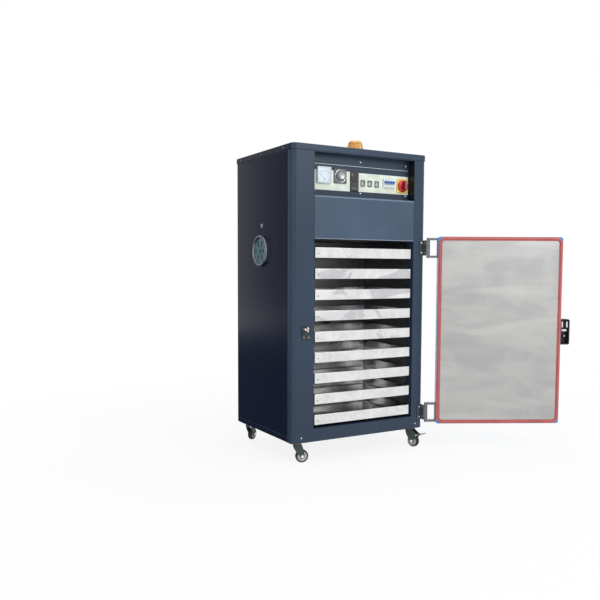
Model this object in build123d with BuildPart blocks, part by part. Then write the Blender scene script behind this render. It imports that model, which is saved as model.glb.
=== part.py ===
from build123d import *
import os

# A cabinet drying oven on four swivel casters: a sheet steel casing, a stainless chamber with nine
# sliding trays, one side-hinged insulated door that stands open, and a recessed control panel.
# Millimetres. X runs to the right across the front, Y to the back, Z up. The floor is Z = 0, the
# casing's front face is Y = 0, and X = 0 is the middle of the casing's width.

# Casing
body_width = 800
body_depth = 620
caster_height = 105
sheet = 2
corner_radius = 25
weld_gap = 0.2
foot_lip_height = 25
foot_lip_step = 1

# Lid
lid_overhang = 4
lid_skirt = 29
lid_edge_radius = 4

# Front frame and chamber
left_pillar_width = 119
right_pillar_width = 77
sill_height = 64
opening_height = 928
header_height = 200
recess_height = 215
frame_depth = 50
recess_lip = 8
top_rail_drop = 4
liner_sheet = 1.5
rear_space = 115
fan_space = 57
baffle_hole_radius = 70

# Insulation
insulation_gap = 0.3
insulation_rear = 48
insulation_top = 80

# Trays
tray_count = 9
tray_pitch = 102.6
tray_height = 50
tray_sheet = 1.5
tray_side_gap = 8.5
tray_front = 6
tray_rear_gap = 12
top_tray_drop = 42
tray_run_gap = 0.3
tray_hole_radius = 3
tray_hole_inset = 20
rail_sheet = 1.5
rail_leg = 22
rail_ledge = 18

# Door, laid out closed and then turned open about its hinge pins
door_overlap = 28
door_overlap_low = 36
door_overlap_high = 25
door_gap = 8
door_thickness = 42
door_corner = 12
door_window_inset = 30
door_open_angle = 152
gasket_inset = 6
gasket_width = 14
gasket_corner = 30
gasket_clearance = 0.4
liner_clearance = 0.3
press_inset = 50
press_height = 3.5

# Hinges
hinge_pin_x = body_width / 2
hinge_pin_y = -27
hinge_pin_radius = 5
hinge_barrel_wall = 4
hinge_height = 104
hinge_arm_height = 12
hinge_end_inset = 7
hinge_leaf_width = 26
hinge_leaf_thickness = 4
hinge_plate = 3
running_clearance = 0.05
side_clearance = 0.3

# Door handle
handle_width = 26
handle_height = 214
handle_reach = 50
handle_bar = 14
handle_foot = 24
handle_inset = 69
handle_corner = 14
handle_bottom = 514

# Latch on the door's free edge and strike on the pillar
latch_height = 135
latch_middle = 622
latch_width = 50
latch_wing = 18
latch_proud = 14
latch_rear_gap = 6
latch_wall = 6
latch_corner = 9
strike_width = 44
strike_height = 62
strike_middle = 643
strike_plate = 4
strike_gasket_gap = 1.5
loop_thickness = 6
loop_reach = 30
loop_height = 26
loop_hole_radius = 6
loop_corner = 6

# Control panel in the recess
panel_sheet = 2
panel_screw_radius = 4
panel_screw_head = 2.5
panel_screw_inset = 25
panel_screw_right = 20
panel_screw_shift = 11
panel_screw_low = 34
panel_screw_high = 25
cutout_clearance = 0.3
panel_full_width = 604
instrument_rise = 91
meter_size = 80
meter_along = 77
meter_lift = 22
meter_proud = 14
timer_size = 72
timer_along = 174
timer_lift = 22
timer_proud = 8
timer_dial_radius = 25
timer_dial_height = 12
timer_dial_taper = 6
controller_width = 48
controller_height = 96
controller_along = 260
controller_proud = 6
rear_body_inset = 4
rear_body_depth = 70
bezel_corner = 3
rocker_along = (311, 354, 397)
rocker_frame_width = 25
rocker_frame_height = 31
rocker_frame_wall = 3
rocker_frame_proud = 3
rocker_drop = 5
rocker_pivot_depth = 1
rocker_pin_radius = 1.2
rocker_pin_end = 0.3
rocker_clearance = 0.7
rocker_thickness = 7
rocker_tilt = 8
rocker_body_depth = 24
breaker_width = 72
breaker_face = 45
breaker_along = 472
breaker_proud = 9
breaker_lift = 5
breaker_body_depth = 60
toggle_slot_height = 17
toggle_radius = 6
toggle_reach = 19
toggle_thickness = 4
toggle_up_angle = 20
toggle_end_gap = 0.6
isolator_size = 70
isolator_corner = 6
isolator_along = 560
isolator_thickness = 5
isolator_drop = 5
knob_disc_radius = 30
knob_disc_height = 9
knob_grip_width = 13
knob_grip_length = 50
knob_grip_height = 22
spindle_radius = 4
spindle_hole_clearance = 2
knob_grip_taper = 4

# Side vent with its rotary damper
vent_middle_y = 335
vent_middle_z = 1042
vent_radius = 80
vent_rim = 14
vent_rim_height = 12
vent_plate = 2
vent_slots = 6
vent_slot_width = 15
vent_slot_inner = 22
vent_slot_outer = 56
damper_gap = 0.3
damper_rim_gap = 0.5
damper_thickness = 2
damper_knob_radius = 11
damper_knob_height = 12
damper_knob_taper = 5
vent_rim_round = 4.6
duct_radius = 58

# Warning lamp on the lid
lamp_x = 85
lamp_y = 200
lamp_base_radius = 52
lamp_base_height = 16
lamp_lens_radius = 49
lamp_top_radius = 34
lamp_lens_height = 60
lamp_lens_round = 12
lamp_base_round = 3

# Circulation fan and heaters behind the baffle
motor_radius = 50
motor_length = 58
motor_boss_radius = 14
fan_radius = 95
fan_hub_radius = 18
shaft_hole_clearance = 1
fan_blades = 16
fan_blade_depth = 26
fan_blade_length = 30
fan_blade_sheet = 1.5
fan_shaft_radius = 5
fan_wall_gap = 8
heater_radius = 5
heater_side_inset = 60
heater_span = 50
heater_end_inset = 90
heater_bend = 12
heater_forward = 27

# Casters
caster_side_inset = 50
caster_end_inset = 46
caster_plate_length = 92
caster_plate_width = 64
caster_plate_thickness = 3
cup_radius = 22
cup_height = 6
caster_plate_corner = 6.5
fork_shoulder = 16.5
kingpin_radius = 6
fork_gap = 0.3
fork_crown = 4
fork_sheet = 3
wheel_radius = 32
wheel_width = 24
wheel_side_gap = 2
wheel_round = 7
tyre_thickness = 8
tyre_gap = 0.1
axle_radius = 4
axle_head_radius = 8
axle_head = 4
caster_trail = 26
brake_pin_along = 53
brake_pin_height = 67
brake_pin_radius = 2.5
brake_barrel_radius = 6
brake_ear_margin = 1
brake_pedal_length = 44
brake_pedal_width = 26
brake_pedal_sheet = 4
brake_pedal_tilt = 18

# Base frame
base_sheet = 3
base_rail_width = 60
base_rail_height = 40
base_rail_wall = 3

# Places that follow from the sizes above
half_width = body_width / 2
body_bottom = caster_height
opening_left = -half_width + left_pillar_width
opening_right = half_width - right_pillar_width
opening_width = opening_right - opening_left
opening_middle = (opening_left + opening_right) / 2
opening_bottom = body_bottom + sill_height
opening_top = opening_bottom + opening_height
header_top = opening_top + header_height
recess_top = header_top + recess_height
lid_bottom = recess_top + top_rail_drop
body_top = lid_bottom + lid_skirt
casing_top = body_top - sheet
chamber_rear = body_depth - rear_space
baffle_front = chamber_rear - fan_space
tray_depth = baffle_front - tray_rear_gap - tray_front
panel_front = frame_depth - panel_sheet - weld_gap
door_left = opening_left - door_overlap
door_right = opening_right + door_overlap
door_bottom = opening_bottom - door_overlap_low
door_top = opening_top + door_overlap_high
door_rear = -door_gap
door_front = door_rear - door_thickness
tray_width = opening_width - 2 * tray_side_gap
insulation_back = chamber_rear + liner_sheet + insulation_gap + insulation_rear
chamber_middle_z = (opening_bottom + opening_top) / 2


def across_panel(along):
    """Where an instrument stands, by its distance from the recess's left end at the full width."""
    return opening_left + along * opening_width / panel_full_width


instrument_middle = header_top + instrument_rise
meter_middle_x = across_panel(meter_along)
timer_middle_x = across_panel(timer_along)
controller_middle_x = across_panel(controller_along)
rocker_places = [across_panel(along) for along in rocker_along]
breaker_middle_x = across_panel(breaker_along)
isolator_middle_x = across_panel(isolator_along)


def front_plane(y):
    """An upright plane at depth y: its sketches are drawn in X and Z, and extrude towards the front."""
    return Plane.XZ.offset(-y)


def block(x, y, z, mode=Mode.ADD):
    """A box between two corners, each range given as (low, high)."""
    with Locations(((x[0] + x[1]) / 2, (y[0] + y[1]) / 2, (z[0] + z[1]) / 2)):
        Box(x[1] - x[0], y[1] - y[0], z[1] - z[0], mode=mode)


def about(middle, size):
    """The range of a length centred on a place."""
    return (middle - size / 2, middle + size / 2)


def shrink(span, amount):
    """A range drawn in by the same amount at both ends."""
    return (span[0] + amount, span[1] - amount)


def save(piece, name):
    """Label a finished piece and write it to its own file."""
    piece.label = name
    export_step(piece, f"parts/{name}.step")


os.makedirs("parts", exist_ok=True)

# Front frame: two rounded hollow pillars, the sill, the header over the chamber and the top rail
frame_y = (0, frame_depth)
frame_x = shrink((opening_left, opening_right), weld_gap)
with BuildPart() as front_frame:
    for inner_x, outer_x in ((opening_left, -half_width), (opening_right, half_width)):
        with BuildSketch(Plane.XY.offset(body_bottom)) as pillar_plan:
            with Locations(((inner_x + outer_x) / 2, frame_depth / 2)):
                Rectangle(abs(outer_x - inner_x), frame_depth)
            front_corners = pillar_plan.vertices().group_by(Axis.Y)[0].sort_by(Axis.X)
            fillet(front_corners[0] if outer_x < 0 else front_corners[-1], corner_radius)
            offset(amount=-sheet, mode=Mode.SUBTRACT)
        extrude(amount=casing_top - body_bottom)
    for low_z, high_z in (
        (body_bottom, opening_bottom),
        (opening_top, header_top),
        (recess_top, casing_top),
    ):
        block(frame_x, frame_y, (low_z, high_z))
        block(frame_x, shrink(frame_y, sheet), shrink((low_z, high_z), sheet), Mode.SUBTRACT)
    block(frame_x, (0, sheet), (header_top, header_top + recess_lip))
save(front_frame.part, "front_frame")

# Side panels, with a folded lip along the foot, and the left one cut for the vent
side_y = (frame_depth + weld_gap, body_depth)
side_z = (body_bottom, casing_top)
with BuildPart() as side_panel_left:
    block((-half_width, -half_width + sheet), side_y, side_z)
    block(
        (-half_width + sheet, -half_width + sheet + foot_lip_step),
        (side_y[0], body_depth - 2 * sheet),
        (body_bottom + base_sheet + weld_gap, body_bottom + foot_lip_height),
    )
    with Locations(Plane.YZ.offset(-half_width)):
        with Locations((vent_middle_y, vent_middle_z)):
            Cylinder(duct_radius, 2 * sheet, align=(Align.CENTER, Align.CENTER, Align.CENTER),
                     mode=Mode.SUBTRACT)
save(side_panel_left.part, "side_panel_left")

with BuildPart() as side_panel_right:
    block((half_width - sheet, half_width), side_y, side_z)
    block(
        (half_width - sheet - foot_lip_step, half_width - sheet),
        (side_y[0], body_depth - 2 * sheet),
        (body_bottom + base_sheet + weld_gap, body_bottom + foot_lip_height),
    )
save(side_panel_right.part, "side_panel_right")

# Back panel between the side panels
inside_x = shrink((-half_width, half_width), sheet + weld_gap)
with BuildPart() as back_panel:
    block(inside_x, (body_depth - sheet, body_depth), side_z)
save(back_panel.part, "back_panel")


def lid_outline(overhang, rear):
    """The casing's plan grown at the front and sides, its two front corners rounded, as a sketch."""
    with BuildSketch(Plane.XY.offset(lid_bottom)) as outline:
        with Locations((0, (rear - overhang) / 2)):
            Rectangle(body_width + 2 * overhang, rear + overhang)
        fillet(outline.vertices().group_by(Axis.Y)[0], corner_radius + overhang)
    return outline.sketch


# Lid: a shallow pressed cover whose skirt hangs over the front and sides, flush with the back
with BuildPart() as top_cover:
    extrude(lid_outline(lid_overhang, body_depth), amount=lid_skirt)
    fillet(top_cover.faces().sort_by(Axis.Z)[-1].edges(), lid_edge_radius)
    extrude(
        lid_outline(lid_overhang - sheet, body_depth + lid_overhang),
        amount=lid_skirt - sheet,
        mode=Mode.SUBTRACT,
    )
save(top_cover.part, "top_cover")

# Base frame: the bottom panel and two tubes that the casters bolt to
base_y = (frame_depth + weld_gap, body_depth - sheet - weld_gap)
with BuildPart() as base_frame:
    block(inside_x, base_y, (body_bottom, body_bottom + base_sheet))
    for rail_x in (-half_width + caster_side_inset, half_width - caster_side_inset):
        rail_span = about(rail_x, base_rail_width)
        rail_z = (body_bottom + base_sheet, body_bottom + base_sheet + base_rail_height)
        block(rail_span, base_y, rail_z)
        block(
            shrink(rail_span, base_rail_wall), base_y, shrink(rail_z, base_rail_wall), Mode.SUBTRACT
        )
save(base_frame.part, "base_frame")

# Chamber liner: five stainless plates and the perforated baffle in front of the fan
liner_y = (frame_depth + weld_gap, chamber_rear)
liner_outer_z = (opening_bottom - liner_sheet, opening_top + liner_sheet)
baffle_span = shrink((opening_left, opening_right), weld_gap)
with BuildPart() as chamber_liner:
    block((opening_left - liner_sheet, opening_left), liner_y, liner_outer_z)
    block((opening_right, opening_right + liner_sheet), liner_y, liner_outer_z)
    block(baffle_span, liner_y, (opening_bottom - liner_sheet, opening_bottom))
    block(baffle_span, liner_y, (opening_top, opening_top + liner_sheet))
    block(
        (opening_left - liner_sheet, opening_right + liner_sheet),
        (chamber_rear + weld_gap, chamber_rear + weld_gap + liner_sheet),
        liner_outer_z,
    )
    block(
        baffle_span,
        (baffle_front, baffle_front + liner_sheet),
        shrink((opening_bottom, opening_top), weld_gap),
    )
    with BuildSketch(front_plane(chamber_rear + 2 * liner_sheet)):
        with Locations((opening_middle, chamber_middle_z)):
            Circle(fan_shaft_radius + shaft_hole_clearance)
    extrude(amount=2 * liner_sheet, mode=Mode.SUBTRACT)
    with BuildSketch(front_plane(baffle_front + 2 * liner_sheet)):
        with Locations((opening_middle, chamber_middle_z)):
            Circle(baffle_hole_radius)
    extrude(amount=3 * liner_sheet, mode=Mode.SUBTRACT)
save(chamber_liner.part, "chamber_liner")

# Insulation: five slabs between the liner and the casing
wool_top = opening_top + liner_sheet + insulation_gap
wool_bottom = opening_bottom - liner_sheet - insulation_gap
wool_left = opening_left - liner_sheet - insulation_gap
wool_right = opening_right + liner_sheet + insulation_gap
wool_y = (frame_depth + insulation_gap, chamber_rear + liner_sheet + insulation_gap)
wool_outer = shrink((-half_width, half_width), sheet + foot_lip_step + insulation_gap)
rail_top = body_bottom + base_sheet + base_rail_height
with BuildPart() as insulation:
    block((wool_outer[0], wool_left), wool_y, (wool_bottom, wool_top))
    block((wool_right, wool_outer[1]), wool_y, (wool_bottom, wool_top))
    block(wool_outer, wool_y, (rail_top + insulation_gap, wool_bottom - insulation_gap))
    block(wool_outer, wool_y, (wool_top + insulation_gap, wool_top + insulation_top))
    block(wool_outer, (wool_y[1] + insulation_gap, insulation_back), (wool_bottom, wool_top))
    with BuildSketch(front_plane(insulation_back)):
        with Locations((opening_middle, chamber_middle_z)):
            Circle(motor_boss_radius + insulation_gap)
    extrude(amount=insulation_rear + insulation_gap, mode=Mode.SUBTRACT)
save(insulation.part, "insulation")

# Tray rails: an angle under each long edge of each tray
with BuildPart() as tray_rails:
    for level in range(tray_count):
        tray_bottom = opening_top - top_tray_drop - level * tray_pitch - tray_height
        ledge_z = (tray_bottom - tray_run_gap - rail_sheet, tray_bottom - tray_run_gap)
        leg_z = (ledge_z[0], ledge_z[0] + rail_leg)
        rail_y = (frame_depth + weld_gap, baffle_front - weld_gap)
        for wall_x, inward in ((opening_left, 1), (opening_right, -1)):
            foot_x = wall_x + inward * weld_gap
            block(tuple(sorted((foot_x, foot_x + inward * rail_ledge))), rail_y, ledge_z)
            block(tuple(sorted((foot_x, foot_x + inward * rail_sheet))), rail_y, leg_z)
save(tray_rails.part, "tray_rails")

# Nine trays, each an open pan with a small hole near the left end of its front
for level in range(tray_count):
    tray_top = opening_top - top_tray_drop - level * tray_pitch
    pan_x = about(opening_middle, tray_width)
    pan_y = (tray_front, tray_front + tray_depth)
    with BuildPart() as tray:
        block(pan_x, pan_y, (tray_top - tray_height, tray_top))
        block(
            shrink(pan_x, tray_sheet),
            shrink(pan_y, tray_sheet),
            (tray_top - tray_height + tray_sheet, tray_top),
            Mode.SUBTRACT,
        )
        with BuildSketch(front_plane(tray_front + 2 * tray_sheet)):
            with Locations((pan_x[0] + tray_hole_inset, tray_top - tray_height + tray_hole_inset)):
                Circle(tray_hole_radius)
        extrude(amount=3 * tray_sheet, mode=Mode.SUBTRACT)
    save(tray.part, f"tray_{level + 1}")

# Door: everything on it is laid out closed, and opened() turns it about the hinge pins
hinge_axis = Axis((hinge_pin_x, hinge_pin_y, 0), (0, 0, 1))


def opened(piece):
    """The piece as it stands with the door open."""
    return piece.rotate(hinge_axis, door_open_angle)


door_x = (door_left, door_right)
door_y = (door_front, door_rear)
door_z = (door_bottom, door_top)
with BuildPart() as door_shell:
    block(door_x, door_y, door_z)
    fillet(door_shell.edges().filter_by(Axis.Y), door_corner)
    fillet(door_shell.faces().sort_by(Axis.Y)[0].edges(), door_corner)
    block(shrink(door_x, door_corner), shrink(door_y, sheet), shrink(door_z, door_corner), Mode.SUBTRACT)
    block(
        shrink(door_x, door_window_inset),
        (door_rear - 2 * sheet, door_rear + sheet),
        shrink(door_z, door_window_inset),
        Mode.SUBTRACT,
    )
save(opened(door_shell.part), "door_shell")

with BuildPart() as door_insulation:
    block(
        shrink(door_x, door_corner + insulation_gap),
        shrink(door_y, sheet + insulation_gap),
        shrink(door_z, door_corner + insulation_gap),
    )
save(opened(door_insulation.part), "door_insulation")

door_middle_x = (door_left + door_right) / 2
door_middle_z = (door_bottom + door_top) / 2
door_width = door_right - door_left
door_height = door_top - door_bottom
gasket_inner = gasket_inset + gasket_width
with BuildPart() as door_gasket:
    with BuildSketch(front_plane(-gasket_clearance)):
        with Locations((door_middle_x, door_middle_z)):
            RectangleRounded(
                door_width - 2 * gasket_inset, door_height - 2 * gasket_inset, gasket_corner
            )
            RectangleRounded(
                door_width - 2 * gasket_inner,
                door_height - 2 * gasket_inner,
                gasket_corner - gasket_width,
                mode=Mode.SUBTRACT,
            )
    extrude(amount=door_gap - gasket_clearance)
save(opened(door_gasket.part), "door_gasket")

liner_inset = gasket_inner + liner_clearance
with BuildPart() as door_liner:
    with BuildSketch(front_plane(door_rear + liner_sheet)):
        with Locations((door_middle_x, door_middle_z)):
            RectangleRounded(
                door_width - 2 * liner_inset,
                door_height - 2 * liner_inset,
                gasket_corner - gasket_width - liner_clearance,
            )
    extrude(amount=liner_sheet)
    with BuildSketch(front_plane(door_rear + liner_sheet + press_height)):
        with Locations((door_middle_x, door_middle_z)):
            RectangleRounded(
                door_width - 2 * (liner_inset + press_inset),
                door_height - 2 * (liner_inset + press_inset),
                door_corner,
            )
    extrude(amount=press_height)
save(opened(door_liner.part), "door_liner")

# Hinges: a leaf and barrel on the right pillar, and two arms with a plate on the door's edge
hinge_bottoms = (door_bottom + hinge_end_inset, door_top - hinge_end_inset - hinge_height)
barrel_radius = hinge_pin_radius + hinge_barrel_wall
pin_place = (hinge_pin_x, hinge_pin_y)
leaf_x = about(hinge_pin_x - corner_radius, hinge_leaf_width)
with BuildPart() as hinge_leaves:
    for low_z in hinge_bottoms:
        barrel_z = shrink((low_z, low_z + hinge_height), hinge_arm_height + side_clearance)
        block(leaf_x, (-hinge_leaf_thickness - side_clearance, -side_clearance), barrel_z)
        block(
            (leaf_x[1] - hinge_leaf_thickness, leaf_x[1]),
            (hinge_pin_y, -side_clearance),
            barrel_z,
        )
        block(
            (leaf_x[1] - hinge_leaf_thickness, hinge_pin_x),
            about(hinge_pin_y, hinge_leaf_thickness),
            barrel_z,
        )
        with BuildSketch(Plane.XY.offset(barrel_z[0])):
            with Locations(pin_place):
                Circle(barrel_radius)
        extrude(amount=barrel_z[1] - barrel_z[0])
        with BuildSketch(Plane.XY.offset(low_z)):
            with Locations(pin_place):
                Circle(hinge_pin_radius)
        extrude(amount=hinge_height)
save(hinge_leaves.part, "hinge_leaves")

with BuildPart() as door_hinge_arms:
    for low_z in hinge_bottoms:
        block(
            (door_right, door_right + hinge_plate),
            shrink(door_y, door_corner),
            (low_z, low_z + hinge_height),
        )
        for arm_z in (low_z, low_z + hinge_height - hinge_arm_height):
            block(
                (door_right, hinge_pin_x),
                about(hinge_pin_y, 2 * barrel_radius),
                (arm_z, arm_z + hinge_arm_height),
            )
            with BuildSketch(Plane.XY.offset(arm_z)):
                with Locations(pin_place):
                    Circle(barrel_radius)
            extrude(amount=hinge_arm_height)
            with BuildSketch(Plane.XY.offset(arm_z)):
                with Locations(pin_place):
                    Circle(hinge_pin_radius + running_clearance)
            extrude(amount=hinge_arm_height, mode=Mode.SUBTRACT)
save(opened(door_hinge_arms.part), "door_hinge_arms")

# Handle: a square-cornered bow near the door's free edge
handle_x = about(door_left + handle_inset + handle_width / 2, handle_width)
handle_y = (door_front - handle_reach, door_front)
handle_z = (handle_bottom, handle_bottom + handle_height)
with BuildPart() as door_handle:
    block(handle_x, handle_y, handle_z)
    fillet(door_handle.faces().sort_by(Axis.Y)[0].edges().filter_by(Axis.X), handle_corner)
    block(
        handle_x,
        (handle_y[0] + handle_bar, door_front),
        shrink(handle_z, handle_foot),
        Mode.SUBTRACT,
    )
save(opened(door_handle.part), "door_handle")

# Latch: a rounded housing over the door's free edge, hollow at the back for the strike's loop
latch_x = (door_left - latch_width, door_left + latch_wing)
latch_y = (door_front - latch_proud, door_rear - latch_rear_gap)
latch_z = about(latch_middle, latch_height)
with BuildPart() as latch_body:
    block(latch_x, latch_y, latch_z)
    fillet(latch_body.edges().filter_by(Axis.Y), latch_corner)
    fillet(latch_body.faces().sort_by(Axis.Y)[0].edges(), latch_corner / 2)
    block((door_left, latch_x[1]), (door_front, latch_y[1]), latch_z, Mode.SUBTRACT)
    block(
        (latch_x[0] + latch_wall, door_left - latch_wall),
        (door_front + latch_wall, latch_y[1]),
        shrink(latch_z, latch_wall),
        Mode.SUBTRACT,
    )
save(opened(latch_body.part), "latch_body")

strike_right = door_left + gasket_inset - strike_gasket_gap
strike_x = (strike_right - strike_width, strike_right)
loop_x = about((latch_x[0] + door_left) / 2, loop_thickness)
loop_z = (strike_middle + strike_height / 2 - loop_height, strike_middle + strike_height / 2)
with BuildPart() as latch_strike:
    block(strike_x, (-strike_plate, 0), about(strike_middle, strike_height))
    fillet(latch_strike.edges().filter_by(Axis.Y), loop_corner)
    with BuildSketch(Plane.YZ.offset(loop_x[0])) as loop_side:
        with Locations((-strike_plate - loop_reach / 2, (loop_z[0] + loop_z[1]) / 2)):
            Rectangle(loop_reach, loop_height)
        fillet(loop_side.vertices().group_by(Axis.Y)[0], loop_corner)
        with Locations((-strike_plate - loop_reach / 2, (loop_z[0] + loop_z[1]) / 2)):
            Circle(loop_hole_radius, mode=Mode.SUBTRACT)
    extrude(amount=loop_thickness)
save(latch_strike.part, "latch_strike")

# Control plate across the recess, cut out for the instruments behind it
panel_x = shrink((opening_left, opening_right), weld_gap)
panel_z = (header_top + weld_gap, recess_top - weld_gap)
rocker_z = instrument_middle - rocker_drop
breaker_z = instrument_middle + breaker_lift
isolator_z = instrument_middle - isolator_drop
cutouts = [
    (meter_middle_x, instrument_middle + meter_lift, meter_size, meter_size),
    (timer_middle_x, instrument_middle + timer_lift, timer_size, timer_size),
    (controller_middle_x, instrument_middle, controller_width, controller_height),
]
with BuildPart() as control_plate:
    block(panel_x, (panel_front, panel_front + panel_sheet), panel_z)
    with BuildSketch(front_plane(panel_front + panel_sheet)):
        for middle_x, middle_z, width, height in cutouts:
            inset = 2 * (rear_body_inset - cutout_clearance)
            with Locations((middle_x, middle_z)):
                Rectangle(width - inset, height - inset)
        for middle_x in rocker_places:
            with Locations((middle_x, rocker_z)):
                Rectangle(
                    rocker_frame_width - rocker_frame_wall + cutout_clearance,
                    rocker_frame_height - rocker_frame_wall + cutout_clearance,
                )
        with Locations((breaker_middle_x, breaker_z)):
            Rectangle(breaker_width + 2 * cutout_clearance, breaker_face + 2 * cutout_clearance)
        with Locations((isolator_middle_x, isolator_z)):
            Circle(spindle_radius + spindle_hole_clearance)
    extrude(amount=panel_sheet, mode=Mode.SUBTRACT)
save(control_plate.part, "control_plate")


def instrument(middle_x, middle_z, width, height, proud):
    """A bezel on the control plate with its case passing back through the cut-out."""
    with BuildSketch(front_plane(panel_front)) as bezel:
        with Locations((middle_x, middle_z)):
            RectangleRounded(width, height, bezel_corner)
    extrude(bezel.sketch, amount=proud)
    block(
        shrink(about(middle_x, width), rear_body_inset),
        (panel_front, panel_front + rear_body_depth),
        shrink(about(middle_z, height), rear_body_inset),
    )


with BuildPart() as ammeter:
    instrument(*cutouts[0], meter_proud)
save(ammeter.part, "ammeter")

timer_z = instrument_middle + timer_lift
with BuildPart() as timer_case:
    instrument(*cutouts[1], timer_proud)
    with BuildSketch(front_plane(panel_front)):
        with Locations((timer_middle_x, timer_z)):
            Circle(spindle_radius + running_clearance)
    extrude(amount=timer_proud, mode=Mode.SUBTRACT)
save(timer_case.part, "timer_case")

dial_rear = panel_front - timer_proud - side_clearance
with BuildPart() as timer_dial:
    with BuildSketch(front_plane(dial_rear)):
        with Locations((timer_middle_x, timer_z)):
            Circle(timer_dial_radius)
    extrude(amount=timer_dial_height, taper=timer_dial_taper)
    with BuildSketch(front_plane(dial_rear + timer_proud - sheet)):
        with Locations((timer_middle_x, timer_z)):
            Circle(spindle_radius)
    extrude(amount=timer_proud - sheet)
save(timer_dial.part, "timer_dial")

with BuildPart() as temperature_controller:
    instrument(*cutouts[2], controller_proud)
save(temperature_controller.part, "temperature_controller")

# Rocker switches: a frame snapped into the plate and a rocker that tips in it
rocker_hole = (
    rocker_frame_width - 2 * rocker_frame_wall,
    rocker_frame_height - 2 * rocker_frame_wall,
)
rocker_pin_length = rocker_frame_width - rocker_frame_wall - 2 * rocker_pin_end
rocker_pivot_y = panel_front + rocker_pivot_depth
with BuildPart() as rocker_frames:
    for middle_x in rocker_places:
        block(
            about(middle_x, rocker_frame_width),
            (panel_front - rocker_frame_proud, panel_front),
            about(rocker_z, rocker_frame_height),
        )
        block(
            about(middle_x, rocker_frame_width - rocker_frame_wall),
            (panel_front, panel_front + rocker_body_depth),
            about(rocker_z, rocker_frame_height - rocker_frame_wall),
        )
        block(
            about(middle_x, rocker_hole[0]),
            (panel_front - rocker_frame_proud, panel_front + rocker_body_depth / 2),
            about(rocker_z, rocker_hole[1]),
            Mode.SUBTRACT,
        )
        with BuildSketch(Plane.YZ.offset(middle_x - rocker_frame_width / 2)):
            with Locations((rocker_pivot_y, rocker_z)):
                Circle(rocker_pin_radius + running_clearance)
        extrude(amount=rocker_frame_width, mode=Mode.SUBTRACT)
save(rocker_frames.part, "rocker_frames")

for index, middle_x in enumerate(rocker_places):
    rocker_axis = Axis((middle_x, rocker_pivot_y, rocker_z), (1, 0, 0))
    with BuildPart() as rocker:
        block(
            about(middle_x, rocker_hole[0] - 2 * rocker_clearance),
            about(rocker_pivot_y, rocker_thickness),
            about(rocker_z, rocker_hole[1] - 2 * rocker_clearance),
        )
        with BuildSketch(Plane.YZ.offset(middle_x - rocker_pin_length / 2)):
            with Locations((rocker_pivot_y, rocker_z)):
                Circle(rocker_pin_radius)
        extrude(amount=rocker_pin_length)
    save(rocker.part.rotate(rocker_axis, -rocker_tilt), f"rocker_{index + 1}")

# Four-pole breaker with one linked toggle
breaker_front = panel_front - breaker_proud
toggle_axis_y = breaker_front + toggle_radius
slot_width = breaker_width - 2 * rocker_frame_wall
with BuildPart() as breaker_body:
    block(
        about(breaker_middle_x, breaker_width),
        (breaker_front, panel_front + breaker_body_depth),
        about(breaker_z, breaker_face),
    )
    block(
        about(breaker_middle_x, slot_width),
        (breaker_front, toggle_axis_y + toggle_slot_height / 2),
        about(breaker_z, toggle_slot_height),
        Mode.SUBTRACT,
    )
save(breaker_body.part, "breaker_body")

toggle_width = slot_width - 2 * toggle_end_gap
toggle_axis = Axis((breaker_middle_x, toggle_axis_y, breaker_z), (1, 0, 0))
with BuildPart() as breaker_toggle:
    with BuildSketch(Plane.YZ.offset(breaker_middle_x - toggle_width / 2)):
        with Locations((toggle_axis_y, breaker_z)):
            Circle(toggle_radius)
        with Locations((toggle_axis_y - toggle_reach / 2, breaker_z)):
            Rectangle(toggle_reach, toggle_thickness)
    extrude(amount=toggle_width)
save(breaker_toggle.part.rotate(toggle_axis, -toggle_up_angle), "breaker_toggle")

# Main isolator: a square plate and a turning knob with a raised grip
with BuildPart() as isolator_plate:
    with BuildSketch(front_plane(panel_front)):
        with Locations((isolator_middle_x, isolator_z)):
            RectangleRounded(isolator_size, isolator_size, isolator_corner)
            Circle(spindle_radius + running_clearance, mode=Mode.SUBTRACT)
    extrude(amount=isolator_thickness)
save(isolator_plate.part, "isolator_plate")

knob_rear = panel_front - isolator_thickness - side_clearance
with BuildPart() as isolator_knob:
    with BuildSketch(front_plane(knob_rear)):
        with Locations((isolator_middle_x, isolator_z)):
            Circle(knob_disc_radius)
    extrude(amount=knob_disc_height)
    with BuildSketch(front_plane(knob_rear - knob_disc_height)):
        with Locations((isolator_middle_x, isolator_z)):
            SlotOverall(knob_grip_length, knob_grip_width)
    extrude(amount=knob_grip_height, taper=knob_grip_taper)
    with BuildSketch(front_plane(panel_front)):
        with Locations((isolator_middle_x, isolator_z)):
            Circle(spindle_radius)
    extrude(amount=isolator_thickness + side_clearance)
save(isolator_knob.part, "isolator_knob")

# Control plate screws and the screw in each pillar's foot
screw_x = (
    opening_left + panel_screw_inset,
    (controller_middle_x + rocker_places[0]) / 2 + panel_screw_shift,
    opening_right - panel_screw_right,
)
screw_z = (header_top + panel_screw_low, recess_top - panel_screw_high)
with BuildPart() as panel_screws:
    with BuildSketch(front_plane(panel_front)):
        for place_x in screw_x:
            for place_z in screw_z:
                with Locations((place_x, place_z)):
                    Circle(panel_screw_radius)
    extrude(amount=panel_screw_head)
    with BuildSketch(front_plane(0)):
        for place_x in (-half_width + 2 * corner_radius, half_width - 2 * corner_radius):
            with Locations((place_x, body_bottom + foot_lip_height)):
                Circle(panel_screw_radius)
    extrude(amount=panel_screw_head)
save(panel_screws.part, "panel_screws")

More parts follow.
